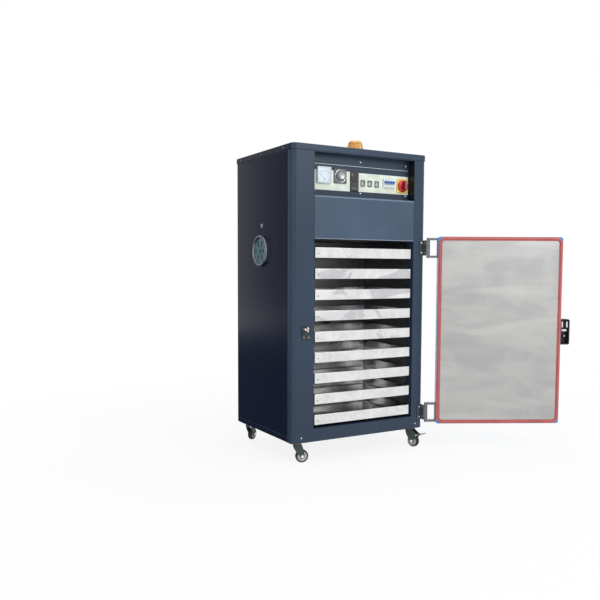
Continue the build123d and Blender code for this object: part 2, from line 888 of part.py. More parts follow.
# Side vent: a raised rim with a slotted plate, and the slotted damper that turns on it
vent_place = (vent_middle_y, vent_middle_z)
rim_inner = vent_radius - vent_rim
vent_back = -half_width - weld_gap
with BuildPart() as vent_flange:
    with BuildSketch(Plane.YZ.offset(vent_back)):
        with Locations(vent_place):
            Circle(vent_radius)
            Circle(rim_inner, mode=Mode.SUBTRACT)
    extrude(amount=-vent_rim_height)
    fillet(vent_flange.faces().sort_by(Axis.X)[0].edges(), vent_rim_round)
    with BuildSketch(Plane.YZ.offset(vent_back)):
        with Locations(vent_place):
            Circle(vent_radius - vent_rim / 2)
            with PolarLocations((vent_slot_inner + vent_slot_outer) / 2, vent_slots):
                SlotOverall(vent_slot_outer - vent_slot_inner, vent_slot_width, mode=Mode.SUBTRACT)
            Circle(spindle_radius + running_clearance, mode=Mode.SUBTRACT)
    extrude(amount=-vent_plate)
save(vent_flange.part, "vent_flange")

damper_back = vent_back - vent_plate - damper_gap
with BuildPart() as vent_damper:
    with BuildSketch(Plane.YZ.offset(damper_back)):
        with Locations(vent_place):
            Circle(rim_inner - damper_rim_gap)
            with PolarLocations((vent_slot_inner + vent_slot_outer) / 2, vent_slots):
                SlotOverall(vent_slot_outer - vent_slot_inner, vent_slot_width, mode=Mode.SUBTRACT)
    extrude(amount=-damper_thickness)
    with BuildSketch(Plane.YZ.offset(damper_back - damper_thickness)):
        with Locations(vent_place):
            Circle(damper_knob_radius)
    extrude(amount=-damper_knob_height, taper=damper_knob_taper)
    with BuildSketch(Plane.YZ.offset(vent_back)):
        with Locations(vent_place):
            Circle(spindle_radius)
    extrude(amount=-(vent_plate + damper_gap))
save(vent_damper.part, "vent_damper")

# Warning lamp on the lid
with BuildPart() as beacon_base:
    with BuildSketch(Plane.XY.offset(body_top)):
        with Locations((lamp_x, lamp_y)):
            Circle(lamp_base_radius)
    extrude(amount=lamp_base_height)
    fillet(beacon_base.faces().sort_by(Axis.Z)[-1].edges(), lamp_base_round)
save(beacon_base.part, "beacon_base")

lens_bottom = body_top + lamp_base_height + weld_gap
with BuildPart() as beacon_lens:
    with BuildSketch(Plane.XY.offset(lens_bottom)):
        with Locations((lamp_x, lamp_y)):
            Circle(lamp_lens_radius)
    with BuildSketch(Plane.XY.offset(lens_bottom + lamp_lens_height)):
        with Locations((lamp_x, lamp_y)):
            Circle(lamp_top_radius)
    loft()
    fillet(beacon_lens.faces().sort_by(Axis.Z)[-1].edges(), lamp_lens_round)
save(beacon_lens.part, "beacon_lens")

# Circulation fan: motor on the back panel, shaft and impeller behind the baffle
motor_front = body_depth - sheet - weld_gap - motor_length
boss_front = chamber_rear + liner_sheet + weld_gap + insulation_gap
fan_place = (opening_middle, chamber_middle_z)
with BuildPart() as fan_motor:
    with BuildSketch(front_plane(motor_front + motor_length)):
        with Locations(fan_place):
            Circle(motor_radius)
    extrude(amount=motor_length)
    with BuildSketch(front_plane(motor_front)):
        with Locations(fan_place):
            Circle(motor_boss_radius)
    extrude(amount=motor_front - boss_front)
    with BuildSketch(front_plane(motor_front + motor_radius / 2)):
        with Locations(fan_place):
            Circle(fan_shaft_radius + running_clearance)
    extrude(amount=motor_front - boss_front + motor_radius / 2, mode=Mode.SUBTRACT)
save(fan_motor.part, "fan_motor")

fan_rear = chamber_rear - fan_wall_gap
with BuildPart() as fan_impeller:
    with BuildSketch(front_plane(fan_rear)):
        with Locations(fan_place):
            Circle(fan_radius)
    extrude(amount=sheet)
    with BuildSketch(front_plane(fan_rear - sheet)):
        with Locations(fan_place):
            with PolarLocations(fan_radius - fan_blade_length / 2, fan_blades):
                Rectangle(fan_blade_length, fan_blade_sheet)
    extrude(amount=fan_blade_depth)
    with BuildSketch(front_plane(fan_rear - sheet)):
        with Locations(fan_place):
            Circle(fan_hub_radius)
    extrude(amount=fan_blade_depth)
    with BuildSketch(front_plane(motor_front + motor_radius / 4)):
        with Locations(fan_place):
            Circle(fan_shaft_radius)
    extrude(amount=motor_front + motor_radius / 4 - fan_rear)
save(fan_impeller.part, "fan_impeller")

# Heaters: a hairpin tube each side of the fan, its ends in the chamber's back wall
heater_y = chamber_rear - heater_forward
with BuildPart() as heater_elements:
    for outer_x, inner_x in (
        (opening_left + heater_side_inset, opening_left + heater_side_inset + heater_span),
        (opening_right - heater_side_inset, opening_right - heater_side_inset - heater_span),
    ):
        with BuildLine() as heater_path:
            FilletPolyline(
                (outer_x, chamber_rear, opening_top - heater_end_inset),
                (outer_x, heater_y, opening_top - heater_end_inset),
                (outer_x, heater_y, opening_bottom + heater_end_inset),
                (inner_x, heater_y, opening_bottom + heater_end_inset),
                (inner_x, heater_y, opening_top - heater_end_inset),
                (inner_x, chamber_rear, opening_top - heater_end_inset),
                radius=heater_bend,
            )
        with BuildSketch(Plane(origin=heater_path.line @ 0, z_dir=heater_path.line % 0)):
            Circle(heater_radius)
        sweep(path=heater_path.line)
save(heater_elements.part, "heater_elements")

# Casters: top plates with their bearing cups and kingpins belong to the cabinet
caster_places = (
    (-half_width + caster_side_inset, caster_end_inset),
    (half_width - caster_side_inset, caster_end_inset),
    (-half_width + caster_side_inset, body_depth - caster_end_inset),
    (half_width - caster_side_inset, body_depth - caster_end_inset),
)
caster_headings = (-17, -72, 35, 160)
braked_casters = (2, 4)
plate_bottom = caster_height - caster_plate_thickness
cup_bottom = plate_bottom - cup_height
crown_top = cup_bottom - fork_gap
crown_bottom = crown_top - fork_crown
with BuildPart() as caster_plates:
    for place in caster_places:
        with BuildSketch(Plane.XY.offset(plate_bottom)):
            with Locations(place):
                RectangleRounded(caster_plate_length, caster_plate_width, caster_plate_corner)
        extrude(amount=caster_plate_thickness)
        with BuildSketch(Plane.XY.offset(cup_bottom)):
            with Locations(place):
                Circle(cup_radius)
        extrude(amount=cup_height)
        with BuildSketch(Plane.XY.offset(crown_bottom)):
            with Locations(place):
                Circle(kingpin_radius)
        extrude(amount=fork_crown + fork_gap)
save(caster_plates.part, "caster_plates")

leg_inner = wheel_width / 2 + wheel_side_gap
brake_ear = brake_barrel_radius + brake_ear_margin


def turned(piece, place, heading):
    """A caster piece built along +X at the origin, moved to its swivel and turned to its heading."""
    return piece.rotate(Axis.Z, heading).translate((place[0], place[1], 0))


for index, (place, heading) in enumerate(zip(caster_places, caster_headings), start=1):
    braked = index in braked_casters
    with BuildPart() as caster_fork:
        with BuildSketch(Plane.XY.offset(crown_bottom)):
            Circle(cup_radius)
            Circle(kingpin_radius + running_clearance, mode=Mode.SUBTRACT)
        extrude(amount=fork_crown)
        for side in (-1, 1):
            leg_y = side * (leg_inner + fork_sheet / 2)
            with BuildSketch(front_plane(leg_y + fork_sheet / 2)) as leg:
                with BuildLine():
                    Polyline(
                        (-fork_shoulder, crown_top),
                        (fork_shoulder, crown_top),
                        (caster_trail + axle_head_radius + fork_sheet, wheel_radius),
                        (caster_trail - axle_head_radius - fork_sheet, wheel_radius),
                        close=True,
                    )
                make_face()
                with Locations((caster_trail, wheel_radius)):
                    Circle(axle_head_radius + fork_sheet)
                if braked:
                    with BuildLine():
                        Polyline(
                            (0, crown_top),
                            (cup_radius, crown_top),
                            (brake_pin_along, brake_pin_height + brake_ear),
                            (brake_pin_along, brake_pin_height - brake_ear),
                            (caster_trail, wheel_radius),
                            close=True,
                        )
                    make_face()
                    with Locations((brake_pin_along, brake_pin_height)):
                        Circle(brake_ear)
            extrude(amount=fork_sheet)
        axle_reach = leg_inner + fork_sheet + axle_head
        with BuildSketch(front_plane(axle_reach)):
            with Locations((caster_trail, wheel_radius)):
                Circle(axle_radius)
        extrude(amount=2 * axle_reach)
        for head_y in (axle_reach, -leg_inner - fork_sheet):
            with BuildSketch(front_plane(head_y)):
                with Locations((caster_trail, wheel_radius)):
                    Circle(axle_head_radius)
            extrude(amount=axle_head)
        if braked:
            with BuildSketch(front_plane(leg_inner)):
                with Locations((brake_pin_along, brake_pin_height)):
                    Circle(brake_pin_radius)
            extrude(amount=2 * leg_inner)
    save(turned(caster_fork.part, place, heading), f"caster_fork_{index}")

    with BuildPart() as caster_wheel:
        with BuildSketch(front_plane(wheel_width / 2)):
            with Locations((caster_trail, wheel_radius)):
                Circle(wheel_radius)
        extrude(amount=wheel_width)
        fillet(caster_wheel.edges().filter_by(GeomType.CIRCLE), wheel_round)
        with BuildSketch(front_plane(wheel_width / 2)):
            with Locations((caster_trail, wheel_radius)):
                Circle(wheel_radius - tyre_thickness)
                Circle(wheel_radius - tyre_thickness - tyre_gap, mode=Mode.SUBTRACT)
                Circle(axle_radius + running_clearance)
        extrude(amount=wheel_width, mode=Mode.SUBTRACT)
    save(turned(caster_wheel.part, place, heading), f"caster_wheel_{index}")

    if braked:
        pedal_axis = Axis((brake_pin_along, 0, brake_pin_height), (0, 1, 0))
        with BuildPart() as brake_pedal:
            block(
                (brake_pin_along, brake_pin_along + brake_pedal_length),
                about(0, brake_pedal_width),
                about(brake_pin_height, brake_pedal_sheet),
            )
            with BuildSketch(front_plane(brake_pedal_width / 2)):
                with Locations((brake_pin_along, brake_pin_height)):
                    Circle(brake_barrel_radius)
            extrude(amount=brake_pedal_width)
            with BuildSketch(front_plane(brake_pedal_width / 2)):
                with Locations((brake_pin_along, brake_pin_height)):
                    Circle(brake_pin_radius + running_clearance)
            extrude(amount=brake_pedal_width, mode=Mode.SUBTRACT)
        raised = brake_pedal.part.rotate(pedal_axis, -brake_pedal_tilt)
        save(turned(raised, place, heading), f"brake_pedal_{index}")
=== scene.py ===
import math

import bmesh
import bpy
import numpy as np
from mathutils import Matrix, Vector


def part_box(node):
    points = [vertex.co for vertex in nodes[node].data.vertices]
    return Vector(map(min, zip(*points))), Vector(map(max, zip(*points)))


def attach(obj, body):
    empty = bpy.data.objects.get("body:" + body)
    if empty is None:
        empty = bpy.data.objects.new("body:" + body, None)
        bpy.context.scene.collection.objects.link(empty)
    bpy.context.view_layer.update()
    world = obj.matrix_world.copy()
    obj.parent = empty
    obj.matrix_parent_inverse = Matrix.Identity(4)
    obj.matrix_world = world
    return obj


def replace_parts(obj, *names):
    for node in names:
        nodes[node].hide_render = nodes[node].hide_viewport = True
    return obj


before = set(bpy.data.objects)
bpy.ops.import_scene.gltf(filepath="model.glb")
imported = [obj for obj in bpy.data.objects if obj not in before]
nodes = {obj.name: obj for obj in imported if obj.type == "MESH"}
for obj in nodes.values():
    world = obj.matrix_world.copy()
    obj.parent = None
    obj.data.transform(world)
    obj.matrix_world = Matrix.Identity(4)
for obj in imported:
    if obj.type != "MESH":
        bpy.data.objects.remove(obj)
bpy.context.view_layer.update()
full = np.inf  # an inset that closes a ring on its middle
print("frame loaded with", len(nodes), "nodes")


def placed(name, data):
    # an object that carries the data, in the scene
    thing = bpy.data.objects.new(name, data)
    bpy.context.scene.collection.objects.link(thing)
    return thing


camera = {
    "place": (-2.0536, -2.9634, 0.9496),
    "yaw": 29.76,
    "pitch": 4.07,
    "roll": 0.19,
    "lens": 713.8 * 0.06,
    "shiftY": 0.0333,
}


def setCamera(c):
    # forward from yaw and pitch, then right and up turned about it by the roll
    yaw, pitch, roll = (math.radians(c[key]) for key in ("yaw", "pitch", "roll"))
    forward = Vector(
        (math.sin(yaw) * math.cos(pitch), math.cos(yaw) * math.cos(pitch), -math.sin(pitch))
    )
    level = Vector((math.cos(yaw), -math.sin(yaw), 0))
    above = level.cross(forward)
    right = level * math.cos(roll) + above * math.sin(roll)
    up = above * math.cos(roll) - level * math.sin(roll)
    eye = bpy.data.cameras.new("eye")
    eye.lens, eye.sensor_width, eye.shift_y = c["lens"], 36, c["shiftY"]
    eye.clip_start, eye.clip_end = 0.05, 60
    holder = placed("eye", eye)
    turn = Matrix((right, up, -forward)).transposed()
    holder.matrix_world = Matrix.Translation(c["place"]) @ turn.to_4x4()
    bpy.context.scene.camera = holder


setCamera(camera)


# Materials
def colour(red, green, blue):
    # a screen colour from 0 to 255 as the light that a shader works with
    c = np.array([red, green, blue]) / 255
    light = np.where(c <= 0.04045, c / 12.92, ((c + 0.055) / 1.055) ** 2.4)
    return (*(float(v) for v in light), 1.0)


def dimmer(shade, amount):
    return (*(v * amount for v in shade[:3]), 1.0)


class Number:
    # a socket in a sum, where each operator adds the Math node that works it out
    def __init__(self, finish, socket):
        self.finish, self.socket = finish, socket

    def __add__(self, other):
        return self.finish.maths("ADD", self, other)

    def __mul__(self, other):
        return self.finish.maths("MULTIPLY", self, other)

    def __sub__(self, other):
        return self.finish.maths("SUBTRACT", self, other)

    def __rsub__(self, other):
        return self.finish.maths("SUBTRACT", other, self)

    __radd__ = __add__
    __rmul__ = __mul__


class Graph:
    # a node tree, where each call adds the node that it needs
    def __init__(self, tree):
        self.tree = tree
        tree.nodes.clear()

    def node(self, kind, settings=None, sockets=None):
        made = self.tree.nodes.new(kind)
        for key, value in (settings or {}).items():
            setattr(made, key, value)
        self.fill(made, sockets or {})
        return made

    def fill(self, made, sockets):
        for key, value in sockets.items():
            value = value.socket if isinstance(value, Number) else value
            if isinstance(value, bpy.types.NodeSocket):
                self.tree.links.new(value, made.inputs[key])
            else:
                made.inputs[key].default_value = value

    def number(self, kind, settings, sockets, give=0):
        return Number(self, self.node(kind, settings, sockets).outputs[give])

    def maths(self, operation, *values):
        return self.number("ShaderNodeMath", {"operation": operation}, dict(enumerate(values)))

    def mix(self, amount, first, second):
        sockets = {0: amount, 6: first, 7: second}
        return self.number("ShaderNodeMix", {"data_type": "RGBA"}, sockets, 2)

    def seen(self):
        # one for the rays of the camera, of mirrors and through glass, and nought for the rest
        path = self.node("ShaderNodeLightPath").outputs
        direct = self.maths("MAXIMUM", path["Is Camera Ray"], path["Is Glossy Ray"])
        return self.maths("MAXIMUM", direct, path["Is Transmission Ray"])


class Finish(Graph):
    def __init__(self, name, base=None, rough=0.5, metal=0.0, **constants):
        self.material = bpy.data.materials.new(name)
        self.material.use_nodes = True
        super().__init__(self.material.node_tree)
        sockets = {"Roughness": rough, "Metallic": metal}
        sockets.update({key.replace("_", " "): value for key, value in constants.items()})
        if base:
            sockets["Base Color"] = base
            self.material.diffuse_color = base
        self.shader = self.node("ShaderNodeBsdfPrincipled", {}, sockets)
        self.end = self.node("ShaderNodeOutputMaterial", {}, {"Surface": self.shader.outputs["BSDF"]})
        self.place = self.node("ShaderNodeTexCoord").outputs["Object"]

    def vector(self, operation, *values, give=0):
        sockets = dict(enumerate(values))
        return self.number("ShaderNodeVectorMath", {"operation": operation}, sockets, give)

    def along(self, axis):
        # one coordinate of the place, in metres
        return self.number("ShaderNodeSeparateXYZ", {}, {"Vector": self.place}, axis)

    def stretched(self, scale, turn=(0, 0, 0)):
        sockets = {"Vector": self.place, "Scale": scale, "Rotation": turn}
        return self.number("ShaderNodeMapping", {}, sockets)

    def noise(self, scale, detail=3, rough=0.5, where=None, warp=0.0):
        keys = ("Vector", "Scale", "Detail", "Roughness", "Distortion")
        values = (where or self.place, scale, detail, rough, warp)
        return self.number("ShaderNodeTexNoise", {}, dict(zip(keys, values)))

    def cells(self, scale, give="Distance"):
        sockets = {"Vector": self.place, "Scale": scale}
        return self.number("ShaderNodeTexVoronoi", {"feature": "F1"}, sockets, give)

    def ramp(self, value, low, high, start=0.0, end=1.0):
        # a value that runs from start to end while the input runs from low to high, and stops there
        sockets = {"Value": value, 1: low, 2: high, 3: start, 4: end}
        return self.number("ShaderNodeMapRange", {"interpolation_type": "SMOOTHSTEP"}, sockets)

    def edge(self, value, place, soft):
        # nought below a place and one above it; a negative softness turns the two round
        return self.ramp(value, place - soft, place + soft)

    def shade(self):
        # what the base colour is made from so far
        return self.shader.inputs["Base Color"].links[0].from_socket

    def bump(self, height, distance):
        sockets = {"Height": height, "Distance": distance, "Strength": 1.0}
        self.fill(self.shader, {"Normal": self.node("ShaderNodeBump", {}, sockets).outputs[0]})

    def set(self, **values):
        self.fill(self.shader, {key.replace("_", " "): value for key, value in values.items()})
        return self


def paint(name, base, rough, peel=0.00004, wear=0.5, shine=0.5, coat=0.0):
    # enamel on sheet: slow drift of shade, fine dust, faint wipe marks and an orange peel skin
    f = Finish(name, base, Specular_IOR_Level=shine, Coat_Weight=coat, Coat_Roughness=0.06)
    drift = f.noise(2.3, 4, 0.55)
    dust = f.noise(260, 2, 0.6)
    wipe = f.noise(9, 5, 0.65, f.stretched((6, 6, 0.7)), 0.4)
    scuff = f.ramp(f.noise(34, 6, 0.75, f.stretched((1, 1, 0.35))), 0.66, 0.74)
    shade = f.mix(f.ramp(drift, 0.3, 0.7), dimmer(base, 0.92), dimmer(base, 1.07))
    shade = f.mix(f.ramp(dust, 0.55, 0.8) * 0.25, shade, dimmer(base, 1.8))
    shade = f.mix(scuff * 0.3 * wear, shade, dimmer(base, 2.2))
    f.set(Base_Color=shade, Roughness=rough + (wipe - 0.5) * 0.14 + scuff * 0.12 * wear)
    skin = f.noise(420, 2, 0.4) + f.noise(24, 3) * 0.6
    f.bump(skin, peel)
    return f


def brushed(name, base, rough, grain=(900, 900, 6), depth=0.00002, mottle=0.12, dull=None):
    # rolled sheet: hair lines along one axis over slow cloudy waves in the sheet
    f = Finish(name, base, metal=1.0)
    hair = f.noise(1, 3, 0.6, f.stretched(grain))
    cloud = f.noise(3.6, 3, 0.5, None, 0.7)
    smear = f.noise(14, 5, 0.7, f.stretched((1, 1, 0.3)), 0.5)
    dark = dull or dimmer(base, 0.8)
    shade = f.mix(f.ramp(hair, 0.25, 0.75) * 0.6 + f.ramp(cloud, 0.3, 0.7) * 0.4, dark, base)
    f.set(
        Base_Color=shade,
        Roughness=rough + (cloud - 0.5) * mottle + (hair - 0.5) * 0.12 + (smear - 0.5) * 0.08,
    )
    f.bump(hair * 0.25 + cloud * 40 + smear * 6, depth)
    return f


def moulded(name, base, rough=0.42, texture=1100, depth=0.00003, shine=0.5):
    # moulded plastic: fine spark-eroded skin, a slight flow drift and handling polish
    f = Finish(name, base, Specular_IOR_Level=shine)
    skin = f.cells(texture)
    flow = f.noise(18, 3, 0.5)
    touch = f.noise(60, 4, 0.6)
    f.set(
        Base_Color=f.mix(f.ramp(flow, 0.3, 0.7), dimmer(base, 0.9), dimmer(base, 1.08)),
        Roughness=rough + (touch - 0.5) * 0.16 + (skin - 0.5) * 0.05,
    )
    f.bump(skin, depth)
    return f


def polished(name, base, rough=0.09):
    # plate over brass or steel: bright, with fine hairline marks and finger haze
    f = Finish(name, base, metal=1.0)
    haze = f.noise(45, 4, 0.6)
    hair = f.noise(1, 2, 0.5, f.stretched((300, 2500, 300), (0.3, 0.2, 0.5)))
    f.set(
        Base_Color=f.mix(f.ramp(haze, 0.35, 0.7), dimmer(base, 0.88), base),
        Roughness=rough + f.ramp(haze, 0.4, 0.8) * 0.14 + (hair - 0.5) * 0.05,
    )
    f.bump(hair, 0.000004)
    return f


def linerFinish():
    # rolled stainless: soft level streaks and blotches, hair lines along its width, a few scratches
    f = Finish("doorLinerSteel", (0.5, 0.5, 0.5, 1), metal=1.0)
    hair = f.noise(1, 3, 0.6, f.stretched((3, 3, 620)))
    streak = f.noise(1, 4, 0.55, f.stretched((1.7, 1.7, 9)), 0.8)
    blotch = f.noise(4.2, 4, 0.6, None, 0.6)
    mark = f.noise(1, 2, 0.5, f.stretched((11, 11, 420), (0.05, 0.04, 0)), 0.2)
    scratch = f.ramp(mark, 0.735, 0.76)
    shade = f.mix(f.ramp(streak, 0.35, 0.7), (0.43, 0.43, 0.43, 1), (0.53, 0.53, 0.515, 1))
    shade = f.mix(f.ramp(blotch, 0.45, 0.75) * 0.5, shade, (0.58, 0.58, 0.56, 1))
    shade = f.mix(scratch * 0.55, shade, (0.16, 0.16, 0.16, 1))
    f.set(
        Base_Color=shade,
        Roughness=0.42 + (streak - 0.5) * 0.16 + (hair - 0.5) * 0.08 + (blotch - 0.5) * 0.14,
    )
    f.bump(hair * 0.1 + streak * 26 + blotch * 16, 0.00002)
    return f


def trayFinish():
    # bright rolled sheet with its room drawn in dark torn patches, a painted reflection, with a wavy skin
    # and hair lines
    f = Finish("traySteel", (0.82, 0.82, 0.82, 1), metal=1.0)
    hair = f.noise(1, 3, 0.6, f.stretched((5, 900, 900)))
    reflectionTears = f.noise(1, 3, 0.45, f.stretched((4, 4, 8), (0, 0.5, 0)), 0.9)
    faint = f.noise(11, 4, 0.6, None, 0.8)
    level = f.along(2)
    # painted reflection: dark torn patches, kept to a band of height
    paintedReflection = f.ramp(reflectionTears, 0.53, 0.58) * f.ramp(level, 0.45, 0.6) * f.ramp(level, 1.04, 0.98)
    shade = f.mix(f.ramp(faint, 0.35, 0.7), (0.74, 0.74, 0.75, 1), (0.86, 0.86, 0.85, 1))
    shade = f.mix(paintedReflection * 0.5, shade, (0.44, 0.45, 0.48, 1))
    f.set(Base_Color=shade, Roughness=0.2 + (faint - 0.5) * 0.16 + (hair - 0.5) * 0.08)
    f.bump(hair * 0.25 + faint * 30, 0.00003)
    return f


def zincPlate(name, base):
    # hot zinc: crystals of different grey, each with its own gloss
    f = Finish(name, base, metal=1.0)
    grey = f.number("ShaderNodeRGBToBW", {}, {0: f.cells(130, "Color")})
    f.set(Base_Color=f.mix(grey, dimmer(base, 0.7), dimmer(base, 1.1)), Roughness=0.3 + grey * 0.22)
    f.bump(f.cells(130) + f.noise(700, 2) * 0.3, 0.00002)
    return f


def siliconeRubber(name, base):
    # dull silicone: chalky bloom, tiny pits and darker handling stains
    f = Finish(name, base, 0.62, Specular_IOR_Level=0.35)
    bloom = f.noise(40, 5, 0.65)
    stain = f.noise(7, 3, 0.5)
    pits = f.cells(900)
    shade = f.mix(f.ramp(bloom, 0.4, 0.75) * 0.35, base, dimmer(base, 1.5))
    shade = f.mix(f.ramp(stain, 0.5, 0.75) * 0.4, shade, dimmer(base, 0.6))
    f.set(Base_Color=shade, Roughness=0.55 + bloom * 0.2)
    f.bump(pits + bloom * 0.8, 0.00006)
    return f


def mineralWool(name, base):
    # tangled fibres: two crossed stretched noises over soft tufts
    f = Finish(name, base, 0.95, Specular_IOR_Level=0.1)
    first = f.noise(1, 5, 0.7, f.stretched((900, 120, 200), (0.4, 0.3, 0.2)), 1.2)
    second = f.noise(1, 5, 0.7, f.stretched((150, 200, 900), (1.1, 0.6, 0.9)), 1.2)
    tufts = f.noise(22, 4, 0.6)
    mesh = f.maths("MAXIMUM", first, second)
    f.set(Base_Color=f.mix(f.ramp(mesh, 0.4, 0.7), dimmer(base, 0.55), base))
    f.bump(mesh * 0.4 + tufts * 1.5, 0.0016)
    return f


frontShades = {
    "pillar": colour(46, 62, 81),
    # header: a painted reflection; lip and fold: painted highlights on the same slate enamel
    "header": colour(68, 86, 106),
    "lip": colour(106, 124, 146),
    "fold": colour(150, 162, 174),
    "seam": colour(18, 24, 32),
    # plate: the control plate darkened, a painted shade of its recess
    "plate": colour(44, 59, 76),
    "side": colour(15, 24, 44),
}


frontEdges = {  # in metres, where the front's shades meet
    "recess": (-0.281, 0.323),
    "recessRear": 0.01,
    "middle": 0.021,
    "halfWidth": 0.302,
    "fold": (1.09675, 1.0995),
    "header": 1.097,
    "lip": (1.297, 1.306),
    "seamTop": 1.51175,
    "side": 0.4015,
}


def frontFinish(s, g):
    # the front's enamel, with painted light on it: the header a lighter shade as a painted reflection,
    # painted highlights along the lip and the fold, and dark seams beside it
    f = paint("slateEnamelPaintedLight", s["pillar"], 0.36, shine=0.3)
    x, y, z = f.along(0), f.along(1), f.along(2)
    left, right = g["recess"]
    foldLow, foldHigh = g["fold"]
    lipLow, lipHigh = g["lip"]
    across = f.edge(x, left, 0.0005) * f.edge(x, right, -0.0005)
    across = across * f.edge(y, g["recessRear"], -0.002)
    header = across * f.edge(z, g["header"], 0.0005) * f.edge(z, lipLow, -0.0002)
    lip = across * f.edge(z, lipLow, 0.0002) * f.edge(z, lipHigh, -0.0005)
    aboveFold = f.edge(z, foldLow, 0.00025)
    fold = across * aboveFold * f.edge(z, foldHigh, -0.001)
    beside = f.maths("ABSOLUTE", f.maths("ABSOLUTE", x - g["middle"]) - g["halfWidth"])
    seam = f.edge(beside, 0.0011, -0.0003) * aboveFold * f.edge(z, g["seamTop"], -0.00025)
    shade = f.shade()
    cloud = f.ramp(f.noise(3.1, 3, 0.5), 0.35, 0.7)
    # painted reflection: the header drawn lighter than the pillars
    light = f.mix(cloud, dimmer(s["header"], 0.9), dimmer(s["header"], 1.12))
    shade = f.mix(header, shade, light)
    # painted highlights along the lip and along the fold at the header's foot
    shade = f.mix(lip, shade, s["lip"])
    shade = f.mix(fold, shade, s["fold"])
    shade = f.mix(seam, shade, s["seam"])
    outside = f.edge(f.maths("ABSOLUTE", x), g["side"], 0.0005)
    f.set(Base_Color=f.mix(outside, shade, s["side"]))
    return f


frontPaint = frontFinish(frontShades, frontEdges)
# the control plate's enamel is darker than the front's: painted shade of the recess
plateShadedPaint = paint("plateEnamelPaintedShade", frontShades["plate"], 0.34, shine=0.3)
sidePaint = paint("navyEnamel", frontShades["side"], 0.2, shine=0.3, wear=0.35)
doorPaint = paint("skyEnamel", colour(24, 150, 226), 0.24, coat=0.25)
forkPaint = paint("forkEnamel", colour(58, 68, 68), 0.4, wear=1.0)
ventPaint = paint("ventEnamel", colour(74, 112, 118), 0.34, wear=0.8)
linerSteel = linerFinish()
traySteel = trayFinish()
zinc = zincPlate("railZinc", (0.58, 0.59, 0.6, 1))
chrome = polished("brightPlate", (0.82, 0.82, 0.84, 1))
# the hinge leaves and arms are chrome-like plate; their dark base colour is a painted reflection of dark
# surroundings
hingeDarkReflection = polished("hingeDarkReflection", (0.2, 0.21, 0.23, 1), 0.22)
sealRubber = siliconeRubber("sealRubber", colour(192, 104, 98))
woolFinish = mineralWool("mineralWool", (0.6, 0.55, 0.4, 1))
blackPlastic = moulded("blackPlastic", colour(22, 24, 27), 0.38)
darkPlastic = moulded("timerPlastic", colour(88, 94, 98), 0.4)
palePlastic = moulded("palePlastic", colour(222, 232, 238), 0.3)
whitePlastic = moulded("breakerPlastic", colour(226, 230, 230), 0.45)
bluePlastic = moulded("togglePlastic", colour(22, 112, 214), 0.32)
yellowPlastic = moulded("yellowPlastic", colour(238, 196, 66), 0.35)
redPlastic = moulded("redPlastic", colour(204, 34, 40), 0.3)
deepRedPlastic = moulded("deepRedPlastic", colour(148, 10, 24), 0.3)
creamCard = moulded("creamOverlay", colour(230, 236, 222), 0.5, 500, 0.00001)
whiteInk = moulded("whiteInk", colour(236, 238, 238), 0.5)
blackInk = moulded("blackInk", colour(26, 28, 32), 0.5)
blackRubber = moulded("blackRubber", colour(20, 20, 21), 0.7, 700, 0.00005, 0.3)
bronze = polished("bearingBronze", (0.42, 0.2, 0.07, 1), 0.3)
brass = polished("screwBrass", (0.66, 0.5, 0.24, 1), 0.22)
motorPaint = paint("motorEnamel", colour(66, 70, 76), 0.45)
heaterSheath = brushed("heaterSheath", (0.2, 0.18, 0.17, 1), 0.45, (600, 600, 20))


def chamberFinish(pitch=0.022, baffle=(0.44785, 0.45015)):
    # the liner's plates, with the baffle's rows of round holes where the baffle stands, drawn black as
    # painted shade of the space behind them
    f = Finish("chamberSteel", (0.3, 0.3, 0.3, 1), metal=1.0)
    hair = f.noise(1, 3, 0.6, f.stretched((500, 8, 500)))
    cloud = f.noise(5, 4, 0.6)
    x, y, z = f.along(0), f.along(1), f.along(2)
    across, up = f.maths("PINGPONG", x, pitch / 2), f.maths("PINGPONG", z, pitch / 2)
    reach = f.maths("SQRT", across * across + up * up)
    onBaffle = f.edge(y, baffle[0], 0.00005) * f.edge(y, baffle[1], -0.00005)
    side = f.maths("ABSOLUTE", x - frontEdges["middle"])
    rows = f.edge(side, 0.1305, 0.0005) * f.edge(side, 0.2795, -0.0005)
    # painted shade: the holes drawn black
    hole = f.edge(reach, 0.0041, -0.0002) * onBaffle * rows
    tan = f.ramp(cloud, 0.45, 0.8) * 0.35  # heat tint
    shade = f.mix(tan, (0.24, 0.24, 0.25, 1), (0.26, 0.14, 0.1, 1))
    f.set(
        Base_Color=f.mix(hole, shade, (0.004, 0.004, 0.004, 1)),
        Roughness=0.4 + (cloud - 0.5) * 0.2 + (hair - 0.5) * 0.1,
        Metallic=1 - hole,
    )
    f.bump(hair * 0.3 + cloud * 8 - hole * 20, 0.00002)
    return f


def wheelFinish(name, centre, axle):
    # distance from the axle tells tyre, pale ring and hub apart
    f = Finish(name, colour(20, 20, 21))
    apart = f.vector("SUBTRACT", f.place, centre)
    lengthwise = f.vector("DOT_PRODUCT", apart, axle, give="Value")
    whole = f.vector("LENGTH", apart, give="Value")
    radius = f.maths("SQRT", f.maths("MAXIMUM", whole * whole - lengthwise * lengthwise, 0))
    tyre = f.edge(radius, 0.0238, 0.0001)
    hub = f.edge(radius, 0.01035, -0.00015)
    speck = f.noise(800, 3, 0.6)
    grime = f.noise(60, 4, 0.6)
    ring = f.mix(f.ramp(grime, 0.35, 0.75), colour(196, 200, 204), colour(150, 152, 150))
    inner = f.mix(hub, ring, colour(120, 74, 40))
    rubber = f.mix(f.ramp(grime, 0.4, 0.8), colour(17, 17, 19), colour(52, 50, 48))
    f.set(Base_Color=f.mix(tyre, inner, rubber), Roughness=0.42 + tyre * 0.28 + (speck - 0.5) * 0.1)
    f.bump(speck, 0.00006)
    return f


